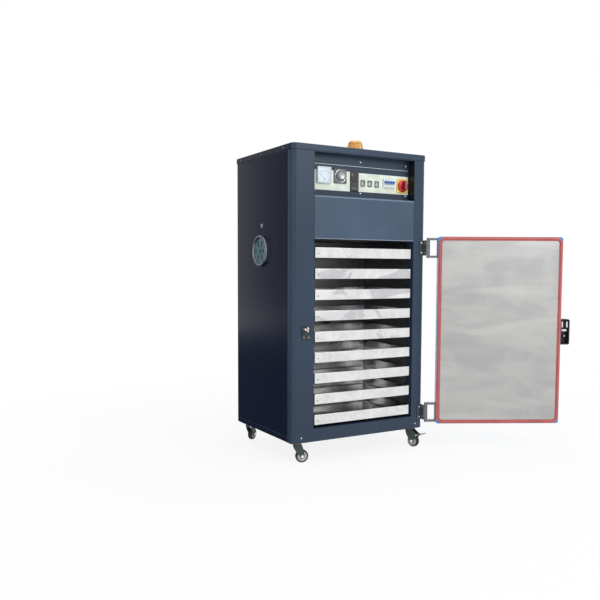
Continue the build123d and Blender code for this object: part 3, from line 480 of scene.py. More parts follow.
def strikeFinish():
    # the base is dark enamel and the loop in front of it bright plate
    f = Finish("strikeFinish", colour(46, 58, 60), Specular_IOR_Level=0.4)
    loop = f.edge(f.along(1), -0.0042, -0.0001)
    haze = f.noise(120, 4, 0.6)
    f.set(
        Base_Color=f.mix(loop, colour(44, 56, 58), (0.82, 0.82, 0.84, 1)),
        Metallic=loop,
        Roughness=0.38 - loop * 0.26 + (haze - 0.5) * 0.14,
    )
    f.bump(f.noise(500, 2), 0.00002)
    return f


def lensFinish():
    # ribbed amber plastic that lets light through
    f = Finish("amberLens", colour(255, 186, 60), 0.16, Transmission_Weight=0.7, IOR=1.45)
    f.set(Specular_IOR_Level=0.5)
    cloud = f.noise(30, 3)
    f.set(
        Base_Color=f.mix(cloud, colour(255, 198, 92), colour(255, 226, 152)),
        Roughness=0.1 + cloud * 0.14,
    )
    f.bump(f.noise(240, 2), 0.00003)
    return f


chamberSteel = chamberFinish()
amberLens = lensFinish()
print("materials made")


# Surfaces
ways = {  # the axes of a face seen from outside: across, up and out
    "front": ((1, 0, 0), (0, 0, 1), (0, -1, 0)),
    "back": ((-1, 0, 0), (0, 0, 1), (0, 1, 0)),
    "left": ((0, -1, 0), (0, 0, 1), (-1, 0, 0)),
    "right": ((0, 1, 0), (0, 0, 1), (1, 0, 0)),
    "up": ((1, 0, 0), (0, 1, 0), (0, 0, 1)),
    "down": ((1, 0, 0), (0, -1, 0), (0, 0, -1)),
}
hingePin = np.array([400.0, -27.0])
doorTurn = math.radians(152)


def put(grid, way, origin):
    # millimetres across, up and out of a face, as a place in the frame in metres
    return (np.asarray(origin, float) + grid @ np.array(ways[way], float)) * 0.001


def opened(points):
    # a place laid out on the closed door, turned open about the hinge pins
    c, s = math.cos(doorTurn), math.sin(doorTurn)
    flat = points[..., :2] - hingePin * 0.001
    turned = flat @ np.array([[c, s], [-s, c]]) + hingePin * 0.001
    return np.concatenate([turned, points[..., 2:]], -1)


def rings(size, corner, profile, steps=6):
    # u runs round a rounded rectangle and v along a profile of (inset, height) pairs
    inset, height = np.array(profile, float).T
    half = np.array(size, float) / 2
    inset = np.minimum(inset, half.min())
    a, b = half[0] - inset, half[1] - inset
    r = np.minimum(np.clip(corner - inset, 0, None), np.minimum(a, b))
    angle = (np.arange(4)[:, None] * np.pi / 2 + np.linspace(0, np.pi / 2, steps + 1)).ravel()
    signA = np.repeat([1, -1, -1, 1], steps + 1)[:, None]
    signB = np.repeat([1, 1, -1, -1], steps + 1)[:, None]
    across = signA * (a - r) + r * np.cos(angle)[:, None]
    up = signB * (b - r) + r * np.sin(angle)[:, None]
    grid = np.stack([across, up, np.broadcast_to(height, across.shape)], -1)
    return np.concatenate([grid, grid[:1]])


def lathe(profile, sides=48, ribs=0, ribDepth=0.0, ribFrom=0.0):
    # u turns about the middle and v runs along a profile of (radius, height); ribs wave the radius
    radius, height = np.array(profile, float).T
    angle = np.linspace(0, 2 * np.pi, sides + 1)[:, None]
    wave = ribDepth * np.cos(ribs * angle) * (radius > ribFrom) if ribs else 0
    r = radius + wave * np.minimum(radius, 1)
    grid = np.stack(
        [r * np.cos(angle), r * np.sin(angle), np.broadcast_to(height, (sides + 1, len(height)))],
        -1,
    )
    grid[-1] = grid[0]
    return grid


def moved(grid, across=0.0, up=0.0, out=0.0, turn=0.0):
    # the grid turned in its own plane and then shifted
    c, s = math.cos(turn), math.sin(turn)
    return grid @ np.array([[c, s, 0], [-s, c, 0], [0, 0, 1]]) + np.array([across, up, out])


def screwHead(radius, height, sides=24):
    # a dome over the polar plane, sunk along four spokes for the driver's cross
    radii = np.array([radius, radius, 0.93, 0.72, 0.5, 0.3, 0.0]) * np.array(
        [1, 1] + [radius] * 5
    )
    rise = np.array([0, 0.45, 0.72, 0.88, 0.96, 1.0, 1.0]) * height
    grid = lathe(np.stack([radii, rise], -1), sides)
    spoke = (np.arange(sides + 1) % (sides // 4) == 0)[:, None]
    sunk = spoke & (radii < radius * 0.62)[None]
    grid[..., 2] -= sunk * height * 0.55
    grid[:, -1, 2] = height * 0.45
    return grid


def bar(length, width, height):
    return rings((length, width), 0, [(full, 0), (0, 0), (0, height), (full, height)], 0)


def rod(radius, low, high, sides=24):
    return lathe([(0, low), (radius, low), (radius, high), (0, high)], sides)


def tipped(angle):
    # turns places about the across axis
    c, s = math.cos(angle), math.sin(angle)
    return np.array([[1, 0, 0], [0, c, s], [0, -s, c]])


class Shape:
    # gathers grids of places, in metres, into one welded mesh
    def __init__(self):
        self.points, self.quads, self.marks, self.count = [], [], [], 0

    def add(self, grid, mark=0):
        n, m = grid.shape[:2]
        index = np.arange(n * m).reshape(n, m) + self.count
        quads = np.stack([index[:-1, :-1], index[1:, :-1], index[1:, 1:], index[:-1, 1:]], -1)
        self.points.append(grid.reshape(-1, 3))
        self.quads.append(quads.reshape(-1, 4))
        self.marks.append(np.full(quads.size // 4, mark))
        self.count += n * m
        return self

    def make(self, name, body, slot, *finishes, sharp=38):
        points, quads = np.concatenate(self.points), np.concatenate(self.quads)
        mesh = bpy.data.meshes.new(name)
        mesh.vertices.add(len(points))
        mesh.vertices.foreach_set("co", points.astype(np.float32).ravel())
        mesh.loops.add(quads.size)
        mesh.loops.foreach_set("vertex_index", quads.astype(np.int32).ravel())
        mesh.polygons.add(len(quads))
        mesh.polygons.foreach_set("loop_start", np.arange(0, quads.size, 4, dtype=np.int32))
        mesh.polygons.foreach_set("material_index", np.concatenate(self.marks).astype(np.int32))
        mesh.update(calc_edges=True)
        for finish in finishes:
            mesh.materials.append(finish.material)
        return dressed(name, mesh, body, sharp)


def dressed(name, mesh, body, sharp=38):
    # doubles welded, smooth except at edges sharper than the angle, and carried by its body
    work = bmesh.new()
    work.from_mesh(mesh)
    bmesh.ops.remove_doubles(work, verts=work.verts, dist=2e-6)
    bmesh.ops.dissolve_degenerate(work, edges=work.edges, dist=1e-7)
    work.to_mesh(mesh)
    work.free()
    mesh.polygons.foreach_set("use_smooth", np.ones(len(mesh.polygons), dtype=bool))
    mesh.set_sharp_from_angle(angle=math.radians(sharp))
    piece = placed(name, mesh)
    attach(piece, body)
    return piece


def cutSheet(across, up, holes, thick):
    # a flat sheet as cells between its cuts, with the cells inside a hole left out and walls round it
    a = sorted({across[0], across[1], *(v for h in holes for v in (h[0], h[1]))})
    b = sorted({up[0], up[1], *(v for h in holes for v in (h[2], h[3]))})
    middleA = np.convolve(a, [0.5, 0.5], "valid")
    middleB = np.convolve(b, [0.5, 0.5], "valid")
    solid = np.ones((len(middleA), len(middleB)), bool)
    for low, high, bottom, top in holes:
        inside = (middleA > low) & (middleA < high)
        solid &= ~(inside[:, None] & ((middleB > bottom) & (middleB < top))[None])
    return [
        moved(bar(a[i + 1] - a[i], b[j + 1] - b[j], thick), middleA[i], middleB[j])
        for i, j in zip(*np.nonzero(solid))
    ]


def finishNode(finish, *names):
    for name in names:
        mesh = nodes[name].data
        mesh.materials.clear()
        mesh.materials.append(finish.material)


# Casing
for finish, *names in (
    (frontPaint, "front_frame", "top_cover"),
    (plateShadedPaint, "control_plate"),
    (sidePaint, "side_panel_left", "side_panel_right", "base_frame"),
    (chamberSteel, "chamber_liner"),
    (zinc, "tray_rails", "caster_plates"),
    (doorPaint, "door_shell"),
    (hingeDarkReflection, "hinge_leaves", "door_hinge_arms"),
    (blackPlastic, "latch_body", "beacon_base", "rocker_frames"),
    (strikeFinish(), "latch_strike"),
    (whitePlastic, "breaker_body"),
    (yellowPlastic, "isolator_plate"),
    (ventPaint, "vent_damper"),
    (polished("ventRim", (0.3, 0.32, 0.35, 1), 0.2), "vent_flange"),
    (motorPaint, "fan_motor"),
    (brushed("fanSteel", (0.55, 0.55, 0.54, 1), 0.35), "fan_impeller"),
    (heaterSheath, "heater_elements"),
    (paint("pedalEnamel", colour(70, 76, 78), 0.38), "brake_pedal_2", "brake_pedal_4"),
):
    finishNode(finish, *names)

casing = {
    "side": 400,
    "skirt": 404,  # the outer face of the lid's skirt
    "fold": (565, 1.4, 0.25),  # a fold line's length, width and height
    "foldMiddle": 332.9,
    "foldHeights": (130, 1513.5),
    "portCover": (325, 1170, 20),
    "lidScrewDepths": (90, 330, 570),
    "lidScrewHeight": 1530,
    "backScrewColumn": 0.387,
    "backScrewPitch": 0.23,
}


def backFinish(c):
    # enamel with flush countersunk screws in two columns at an even pitch; each head's black cross is
    # painted shade in the driver's recess, and its black rim a dark joint
    f = paint("backEnamel", frontShades["side"], 0.24, shine=0.3, wear=0.35)
    across = f.maths("ABSOLUTE", f.along(0)) - c["backScrewColumn"]
    up = f.maths("PINGPONG", f.along(2) - 0.02, c["backScrewPitch"] / 2)
    reach = f.maths("SQRT", across * across + up * up)
    head = f.ramp(reach, 0.0043, 0.0039)
    rim = f.ramp(f.maths("ABSOLUTE", reach - 0.0046), 0.0008, 0.0003)
    spoke = f.maths("MINIMUM", f.maths("ABSOLUTE", across), f.maths("ABSOLUTE", up))
    cross = f.ramp(spoke, 0.0007, 0.0004) * f.ramp(reach, 0.0026, 0.0023)
    shade = f.shade()
    shade = f.mix(head, shade, (0.7, 0.7, 0.72, 1))
    # painted shade in the crosses, dark joints at the rims
    shade = f.mix(f.maths("MAXIMUM", rim, cross), shade, (0.004, 0.005, 0.007, 1))
    f.set(Base_Color=shade, Metallic=head)
    f.bump(head * 0.6 - cross * 1.0 - rim * 0.7 + f.noise(420, 2, 0.4) * 0.05, 0.0004)
    return f


finishNode(backFinish(casing), "back_panel")


def makeCasingTrim(c):
    lines, screws = Shape(), Shape()
    length, width, proud = c["fold"]
    strip = rings((length, width), 0.5, [(full, 0), (0, 0), (0.1, proud), (full, proud)], 2)
    for way, sign in (("left", -1), ("right", 1)):
        for up in c["foldHeights"]:
            lines.add(put(strip, way, (sign * c["side"], c["foldMiddle"], up)))
        for y in c["lidScrewDepths"]:
            screws.add(put(screwHead(3.0, 1.5), way, (sign * c["skirt"], y, c["lidScrewHeight"])))
    # the fold lines' lighter enamel is a painted highlight along the side panels' folds
    foldHighlightPaint = paint("foldHighlightEnamel", colour(70, 82, 98), 0.3)
    lines.make("sideFoldLines", "cabinet", "side_paint", foldHighlightPaint)

    y, z, size = c["portCover"]
    spot = (-c["side"], y, z)
    cover = rings((size, size), 2.5, [(full, 0), (0, 0), (0, 0.8), (0.6, 1.2), (full, 1.2)], 4)
    plate = Shape().add(put(cover, "left", spot))
    plate.add(put(moved(screwHead(2.6, 1.3), out=1.2), "left", spot))
    portPlate = polished("portPlate", (0.5, 0.53, 0.57, 1), 0.35)
    plate.make("sidePortCover", "cabinet", "galvanised", portPlate)
    screws.make("casingScrews", "cabinet", "chrome", chrome)


makeCasingTrim(casing)
print("casing dressed")


# Wool batts: the slabs' own shapes welded, with soft edges
def makeBatts(node, name, body, soft):
    mesh = nodes[node].data.copy()
    work = bmesh.new()
    work.from_mesh(mesh)
    bmesh.ops.remove_doubles(work, verts=work.verts, dist=1e-5)
    bmesh.ops.dissolve_limit(work, angle_limit=math.radians(2), verts=work.verts, edges=work.edges)
    edges = [e for e in work.edges if e.is_manifold and e.calc_face_angle() > 1.0]
    bmesh.ops.bevel(work, geom=edges, offset=soft, segments=2, affect="EDGES", profile=0.6)
    work.to_mesh(mesh)
    work.free()
    mesh.materials.clear()
    mesh.materials.append(woolFinish.material)
    mesh.name = name
    piece = placed(name, mesh)
    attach(piece, body)
    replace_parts(piece, node)


makeBatts("insulation", "woolBatts", "cabinet", 0.004)
makeBatts("door_insulation", "doorWoolBatt", "door", 0.004)


# Trays
tray = {
    "size": (587, 430),
    "height": 50,
    "corner": 5,
    "wall": 1.2,
    "rim": 2.6,
    "hole": (20, 20),  # in from the tray's left end, and up from its bottom
    "pressing": 26,
}


def trayProfile(t):
    # from under the middle, out and up the wall, over the rolled rim, down inside and back
    h, w, rim = t["height"], t["wall"], t["rim"]
    turn = np.linspace(np.pi, -0.25 * np.pi, 9)
    roll = [(rim / 2 + rim / 2 * math.cos(v), h - rim / 2 + rim / 2 * math.sin(v)) for v in turn]
    press = t["pressing"]
    return (
        [(full, 1.4), (press + 2, 1.4), (press, 0), (3, 0), (1.6, 0.5), (1, 1.6), (0.7, 8)]
        + [(0.5, h - rim * 1.4), (0.2, h - rim)]
        + roll
        + [(0.6 + w, h - rim * 1.3), (0.7 + w, 8), (1.2 + w, 3), (3 + w, w), (press, w)]
        + [(press + 2, 1.4 + w), (full, 1.4 + w)]
    )


def makeTrays(t, count=9):
    pan = rings(t["size"], t["corner"], trayProfile(t), 5)
    turn = np.linspace(0, 2 * np.pi, 9)
    curl = [(4.0 + 0.7 * math.cos(v), 0.2 + 0.7 * math.sin(v)) for v in turn[1:5]]
    lip = lathe([(3.6, 0)] + curl + [(3.2, 0)], 24)
    # a dark disc in the eyelet stands for its hole: painted shade
    holeShadeDisc = lathe([(3.4, 0), (3.4, 0.25), (0, 0.25)], 24)
    for level in range(count):
        node = f"tray_{level + 1}"
        low, high = (np.array(corner) * 1000 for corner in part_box(node))
        shape = Shape().add(put(pan, "up", (*(low + high)[:2] / 2, low[2])))
        spot = (low[0] + t["hole"][0], low[1] + 0.7, low[2] + t["hole"][1])
        shape.add(put(lip, "front", spot))
        shape.add(put(holeShadeDisc, "front", spot), 1)
        piece = shape.make(f"trayPan{level + 1}", node, "tray_steel", traySteel, blackPlastic)
        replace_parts(piece, node)


makeTrays(tray)
print("trays made")


# Door: seal, handle, latch and hinge fixings, all laid out closed
doorBox = {"left": -309, "right": 351, "bottom": 133, "top": 1122, "rear": -8, "front": -50}


def onDoor(grid, way, spot):
    return opened(put(grid, way, spot))


def doorSheet(d, inset, corner, profile, steps):
    # a profile carried round the door's outline, drawn in by the inset, on its inner face
    size = (d["right"] - d["left"] - 2 * inset, d["top"] - d["bottom"] - 2 * inset)
    middle = ((d["left"] + d["right"]) / 2, d["rear"], (d["bottom"] + d["top"]) / 2)
    return onDoor(rings(size, corner, profile, steps), "back", middle)


seal = {"inset": 6, "corner": 30, "width": 14, "height": 7.5}


def makeSeal(s, d):
    # a bulb and a lip, carried round the door's edge
    w, h = s["width"], s["height"]
    turn = np.linspace(np.pi, 0, 9)
    bulb = [(4.2 + 3.8 * math.cos(v), h - 3.8 + 3.8 * math.sin(v)) for v in turn]
    profile = (
        [(0.6, 0), (0, 0.6), (0, 1.4), (-3.2, 0.9), (-4.8, 1.5), (-4.4, 2.6), (-1.2, 3.2)]
        + bulb
        + [(8.3, h - 5.2), (9.6, h - 4.6), (11.4, h - 4.0), (13.2, h - 4.9), (w, 1.4), (w, 0.5)]
        + [(w - 0.5, 0), (0.6, 0)]
    )
    grid = doorSheet(d, s["inset"], s["corner"], profile, 14)
    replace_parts(Shape().add(grid).make("doorSeal", "door", "gasket", sealRubber), "door_gasket")


makeSeal(seal, doorBox)

liner = {"inset": 20.3, "corner": 15.7, "sheet": 1.5, "rise": 3.5, "slope": (14, 96)}


def makeLiner(g, d):
    # the inner sheet, rising to its pressed middle along a cosine
    start, end = g["slope"]
    press = [
        (start + (end - start) * t, g["sheet"] + g["rise"] * (1 - math.cos(math.pi * t)) / 2)
        for t in np.linspace(0, 1, 15)
    ]
    profile = [(full, 0), (0, 0), (0, g["sheet"] - 0.4), (0.4, g["sheet"])] + press
    profile.append((full, g["sheet"] + g["rise"]))
    grid = doorSheet(d, g["inset"], g["corner"], profile, 10)
    piece = Shape().add(grid).make("doorInnerSheet", "door", "stainless", linerSteel)
    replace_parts(piece, "door_liner")


makeLiner(liner, doorBox)

handle = {
    "middle": -227,
    "halfWidth": 13,
    "bottom": 514,
    "top": 728,
    "reach": 50,
    "footHalf": 12,
    "barHalf": 7,
    "bend": 22,
}


def makeHandle(g, d):
    # a rounded section carried along a bow: out from the lower foot, up the bar and back in
    face = d["front"]
    out = face - g["reach"] + g["barHalf"]
    low, high = g["bottom"] + g["footHalf"], g["top"] - g["footHalf"]
    r = g["bend"]
    turn = np.linspace(0, np.pi / 2, 9)
    lower = np.stack([out + r - r * np.sin(turn), low + r - r * np.cos(turn)], -1)
    upper = np.stack([out + r - r * np.cos(turn), high - r + r * np.sin(turn)], -1)
    feet = [[face, low], [face - 8, low]], [[face - 8, high], [face, high]]
    path = np.concatenate([feet[0], lower, upper, feet[1]])
    along = np.gradient(path, axis=0)
    along /= np.linalg.norm(along, axis=1, keepdims=True)
    side = np.stack([along[:, 1], -along[:, 0]], -1)
    depth = np.clip((face - path[:, 0]) / (g["reach"] - g["barHalf"]), 0, 1)[:, None]
    thick = g["footHalf"] + (g["barHalf"] - g["footHalf"]) * depth**0.7
    angle = np.linspace(0, 2 * np.pi, 33)[None]
    # a superellipse section: each coordinate is a power of the cosine or sine
    a = np.sign(np.cos(angle)) * np.abs(np.cos(angle)) ** 0.45 * g["halfWidth"]
    b = np.sign(np.sin(angle)) * np.abs(np.sin(angle)) ** 0.45 * thick
    grid = np.stack(
        [
            g["middle"] + a * np.ones_like(b),
            path[:, :1] + side[:, :1] * b,
            path[:, 1:] + side[:, 1:] * b,
        ],
        -1,
    ).transpose(1, 0, 2)
    grid[-1] = grid[0]
    shape = Shape().add(opened(grid * 0.001))
    recess = rings((9, 15), 4.5, [(-0.5, -0.4), (0, 0.35), (1.0, 0.3), (1.2, -0.6), (full, -0.6)], 6)
    front = face - g["reach"]
    for z in (low + 6, high - 6):
        shape.add(onDoor(recess, "front", (g["middle"], front + 1.6, z)))
        shape.add(onDoor(screwHead(2.8, 1.2), "front", (g["middle"], front + 2.0, z)), 1)
    piece = shape.make("pullHandle", "door", "black_plastic", blackPlastic, chrome)
    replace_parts(piece, "door_handle")


makeHandle(handle, doorBox)

latch = {
    "face": -64,
    "middle": (-325, 622),
    "cover": (50, 118),
    "screws": ((-11, 55), (11, 55), (0, 23), (-11, -34), (11, -34), (0, -56)),
    "screwRadius": 3.4,
    "catch": (-334, -43.9),  # where the jaws, the pawl and the spring stand behind the cover
    "catchHeights": (661, 630, 600),
}


def makeLatchTrim(g):
    x, z = g["middle"]
    bezel = rings(g["cover"], 8, [(0, 0), (1.2, 0.3), (3.4, 0.4), (5, 0.9), (full, 0.9)], 6)
    shape = Shape().add(onDoor(bezel, "front", (x, g["face"], z)))
    for across, up in g["screws"]:
        spot = (x + across, g["face"] - 0.8, z + up)
        shape.add(onDoor(screwHead(g["screwRadius"], 1.9), "front", spot), 1)
    jaw = rings((10, 34), 3, [(full, 0), (0, 0), (0, 21), (1.5, 24), (full, 24)], 4)
    pawl = rings((30, 14), 4, [(full, 0), (0, 0), (0, 17), (2, 19), (full, 19)], 4)
    spring = lathe([(0, 0), (5.2, 0), (5.2, 22), (4.2, 23), (0, 23)], 20)
    jawZ, pawlZ, springZ = g["catchHeights"]
    for grid, across, height, mark in (
        (jaw, 12.5, jawZ, 1), (jaw, -12.5, jawZ, 1), (pawl, 0, pawlZ, 1), (spring, 0, springZ, 2)
    ):
        shape.add(onDoor(moved(grid, across), "back", (*g["catch"], height)), mark)
    shape.make("latchCover", "door", "black_plastic", blackPlastic, chrome, zinc)


makeLatchTrim(latch)

hinge = {"leafFace": -4.3, "leafX": 375, "bottoms": (140, 1011), "height": 104, "screwRadius": 4.6}


def makeHingeScrews(g, d):
    fixed, swinging = Shape(), Shape()
    cap = lathe([(4.9, 0), (4.9, 0.8), (4.2, 1.8), (2.4, 2.3), (0, 2.4)], 28)
    radius = g["screwRadius"]
    for low in g["bottoms"]:
        for up in (26, 78):
            fixed.add(put(screwHead(radius, 2.4), "front", (g["leafX"], g["leafFace"], low + up)))
            spot = (d["right"] + 3, (d["rear"] + d["front"]) / 2, low + up)
            swinging.add(onDoor(screwHead(radius, 2.0), "right", spot))
        fixed.add(put(cap, "down", (*hingePin, low)))
        fixed.add(put(cap, "up", (*hingePin, low + g["height"])))
    fixed.make("hingeLeafScrews", "cabinet", "chrome", chrome)
    swinging.make("hingeArmScrews", "door", "chrome", chrome)


makeHingeScrews(hinge, doorBox)

strike = {"middle": (-326.5, 643), "face": -4, "screws": ((-13, 20), (-13, -22), (14, 20), (14, -22))}


def makeStrikeScrews(g):
    x, z = g["middle"]
    screws = Shape()
    for across, up in g["screws"]:
        screws.add(put(screwHead(3.2, 1.7), "front", (x + across, g["face"], z + up)))
    screws.make("strikeScrews", "cabinet", "chrome", brass)


makeStrikeScrews(strike)
print("door dressed")


# Control panel
panelFront = 47.8


def onPanel(middle, grid, *shift, **turned):
    # a grid moved in its own plane, on the control plate about an instrument's middle
    x, z = middle
    return put(moved(grid, *shift, **turned), "front", (x, panelFront, z))


def lettering(name, words, middle, out, finish, thick=0.12):
    # numerals made as text, turned into a mesh, and then set on a face: (text, size, across, up)
    points, faces, count = [], [], 0
    for text, size, across, up in words:
        line = bpy.data.curves.new(name, "FONT")
        line.body, line.size, line.extrude = text, size, thick / 2
        line.align_x, line.align_y = "CENTER", "CENTER"
        line.resolution_u = 3
        carrier = bpy.data.objects.new(name + "Line", line)
        mesh = bpy.data.meshes.new_from_object(carrier)
        spots = np.empty(len(mesh.vertices) * 3)
        mesh.vertices.foreach_get("co", spots)
        points.append(onPanel(middle, spots.reshape(-1, 3), across, up, out + thick / 2))
        faces += [[v + count for v in polygon.vertices] for polygon in mesh.polygons]
        count += len(mesh.vertices)
        bpy.data.objects.remove(carrier)
        bpy.data.curves.remove(line)
    mesh = bpy.data.meshes.new(name)
    mesh.from_pydata(np.concatenate(points).tolist(), [], faces)
    mesh.materials.append(finish.material)
    return dressed(name, mesh, "cabinet", 20)


def instrumentCase(g, corner, edge):
    # a body that runs back from the control plate, with a bezel in front of it
    rear = -g["rear"]
    body = [(full, rear), (4.6, rear), (4, rear + 1), (4, 0), (0, 0)]
    return Shape().add(onPanel(g["middle"], rings(g["size"], corner, body + edge, 5)))


def addTicks(shape, middle, centre, angles, radius, lengths, out, thick):
    # ticks across an arc, every fifth one long; a negative length runs in from the arc
    for index, a in enumerate(angles):
        long = lengths[index % 5 > 0]
        reach = radius + long / 2
        spot = (centre[0] + reach * math.cos(a), centre[1] + reach * math.sin(a), out)
        shape.add(onPanel(middle, bar(abs(long), 0.5, thick), *spot, a))


panel = {
    "leftCard": (-258, -47, 1338, 1436),
    "rightCard": (5, 318, 1340, 1433),
    "cardThick": 0.25,
    "line": (-256, 318, 1464, 1.6),
    "screws": [(x, z) for x in (-256, 15.5, 303) for z in (1331, 1487)],
    "footScrews": [(-350, 130), (350, 130)],
    "rockers": (30, 73, 116),
    "rockerZ": 1383,
    "rockerGap": (11.8, 14.8),
    "breakerGap": (191, 1393, 35.8, 22.3),
    "isolatorGap": (279, 1383, 12, 12),
}


def makePanelTrim(p):
    gaps = [(x, p["rockerZ"], *p["rockerGap"]) for x in p["rockers"]]
    gaps += [p["breakerGap"], p["isolatorGap"]]
    holes = [(x - a, x + a, z - b, z + b) for x, z, a, b in gaps]
    cards = Shape()
    for (x0, x1, z0, z1), cuts in ((p["leftCard"], []), (p["rightCard"], holes)):
        for grid in cutSheet((x0, x1), (z0, z1), cuts, p["cardThick"]):
            cards.add(onPanel((0, 0), grid))
    cards.make("panelCards", "cabinet", "pale_plastic", creamCard)

    x0, x1, z, width = p["line"]
    strip = onPanel(((x0 + x1) / 2, z), bar(x1 - x0, width, 0.15))
    Shape().add(strip).make("panelLine", "cabinet", "pale_plastic", whiteInk)

    screws = Shape()
    for spot in p["screws"]:
        screws.add(onPanel(spot, screwHead(4, 2.5)))
    for x, z in p["footScrews"]:
        screws.add(put(screwHead(4, 2.5), "front", (x, 0, z)))
    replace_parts(screws.make("panelScrewHeads", "cabinet", "chrome", chrome), "panel_screws")


makePanelTrim(panel)

meter = {"middle": (-204, 1410), "size": (80, 80), "proud": 14, "rear": 70, "recess": 3.2}
meterInk = moulded("meterInk", colour(104, 114, 126), 0.5)


def makeMeter(g):
    at, top = g["middle"], g["proud"]
    face = top - g["recess"]
    edge = [(0, top - 3), (0.8, top - 1), (2.4, top), (4.4, top), (5.2, top - 0.6), (5.6, face)]
    case = instrumentCase(g, 4, edge + [(full, face)])
    lower = rings((66, 20), 3, [(0, 0), (0, 2), (0.8, 2.8), (full, 2.8)], 4)
    case.add(onPanel(at, lower, 0, -22, face))
    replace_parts(case.make("meterCase", "cabinet", "pale_plastic", palePlastic), "ammeter")

    marks = Shape()
    centre = (0, -16)
    sweep = np.radians(np.linspace(140, 40, 21))
    addTicks(marks, at, centre, sweep, 38, (-5, -2.8), face, 0.12)
    arc = np.linspace(sweep[0], sweep[-1], 40)[:, None]
    section = np.array([[38.0, 0], [38.5, 0], [38.5, 0.12], [38.0, 0.12], [38.0, 0]])
    band = np.stack(
        [
            centre[0] + section[:, 0] * np.cos(arc),
            centre[1] + section[:, 0] * np.sin(arc),
            face + section[:, 1] * np.ones_like(arc),
        ],
        -1,
    )[:, ::-1]
    marks.add(onPanel(at, band))
    lean = math.radians(139)
    needle = rings((34, 0.9), 0.3, [(full, 0), (0, 0), (0.1, 0.4), (full, 0.4)], 1)
    spot = (centre[0] + 17 * math.cos(lean), centre[1] + 17 * math.sin(lean))
    marks.add(onPanel(at, needle, *spot, face + 0.6, lean))
    for across, up in ((0, -22), (-27, -24), (27, -24)):
        boss = lathe([(3.4, 0), (3.4, 0.8), (2.8, 1.3), (0, 1.4)], 24)
        marks.add(onPanel(at, boss, across, up, face + 2.8), 1 if across else 0)
    marks.make("meterMarks", "cabinet", "pale_plastic", meterInk, palePlastic)
    words = []
    for text, a in zip(("0", "5", "10", "15", "20"), np.radians([140, 115, 90, 65, 40])):
        words.append((text, 5.4, centre[0] + 29 * math.cos(a), centre[1] + 29 * math.sin(a)))
    words.append(("A", 6.5, 0, 1.5))
    lettering("meterNumbers", words, at, face, meterInk)


makeMeter(meter)

timer = {"middle": (-107, 1410), "size": (72, 72), "proud": 8, "rear": 70, "dial": (25, 12)}


def makeTimer(g):
    at, top = g["middle"], g["proud"]
    face = top - 0.9
    edge = [(0, top - 2), (0.7, top - 0.6), (2, top), (3.2, top), (4, face), (full, face)]
    case = instrumentCase(g, 3, edge)
    hoop = lathe([(31.2, 0), (31.2, 0.5), (30.6, 0.7), (30, 0.5), (30, 0)], 64)
    case.add(onPanel(at, hoop, out=face), 1)
    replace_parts(case.make("timerHousing", "cabinet", "black_plastic", darkPlastic, chrome), "timer_case")
    marks = Shape()
    angles = np.radians(240 - 10 * np.arange(31))
    addTicks(marks, at, (0, 0), angles, 26.2, (3.0, 1.7), face, 0.1)
    marks.make("timerTicks", "cabinet", "pale_plastic", whiteInk)
    words = []
    for text, a in zip(("0", "10", "20", "30"), angles[::10]):
        words.append((text, 4.0, 31.33 * math.cos(a), 31.33 * math.sin(a) - 0.3))
    lettering("timerNumbers", words, at, face, whiteInk)

    r, h = g["dial"]
    back = top + 0.3
    knurl = lathe(
        [(0, 0), (r - 1.2, 0), (r - 0.5, 0.6), (r - 0.4, 3.6), (r - 1.4, 4.4), (18.6, 4.8), (17.6, 5.2),
         (17, h - 1.6), (16, h - 0.4), (14.6, h), (13.4, h - 0.5), (0, h - 0.6)],
        192, 60, 0.28, 15.5,
    )
    dial = Shape().add(onPanel(at, knurl[:, :8], out=back), 2)
    dial.add(onPanel(at, knurl[:, 7:], out=back))
    pointer = rings((1.6, 12), 0.8, [(0, 0), (0, 0.4), (0.3, 0.6), (full, 0.6)], 3)
    dial.add(onPanel(at, pointer, 0, 8, back + h - 0.6), 1)
    dial.add(onPanel(at, rod(3.9, -6, 0.2), out=back), 1)
    silver = brushed("dialSilver", (0.46, 0.46, 0.45, 1), 0.42, (400, 400, 400))
    skirt = moulded("dialSkirt", colour(120, 126, 128), 0.35)
    piece = dial.make("timerKnob", "timer_dial", "silver_dial", silver, blackInk, skirt)
    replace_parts(piece, "timer_dial")


makeTimer(timer)

controller = {"middle": (-21, 1388), "size": (48, 96), "proud": 6, "rear": 70}


def segments(text, width, height, stroke, lean=0.12):
    # seven bars to a figure; each is kept where the figure lights it
    lit = {
        "0": "abcdef", "1": "bc", "2": "abged", "3": "abgcd", "4": "fgbc", "5": "afgcd",
        "6": "afgedc", "7": "abc", "8": "abcdefg", "9": "abcdfg",
    }
    half, quarter = width / 2, height / 4
    places = {
        "a": (0, 2 * quarter, 0), "b": (half, quarter, 1), "c": (half, -quarter, 1),
        "d": (0, -2 * quarter, 0), "e": (-half, -quarter, 1), "f": (-half, quarter, 1), "g": (0, 0, 0),
    }
    grids = []
    pitch = width * 1.6
    start = -pitch * (len(text) - 1) / 2
    for index, figure in enumerate(text):
        for key in lit[figure]:
            across, up, upright = places[key]
            length = (2 * quarter if upright else width) - stroke * 0.9
            piece = rings((length, stroke), stroke * 0.4, [(full, 0), (0, 0), (0, 0.1), (full, 0.1)], 1)
            piece = moved(piece, 0, 0, 0, math.pi / 2 if upright else 0)
            grids.append(moved(piece, start + index * pitch + across + lean * up, up))
    return grids


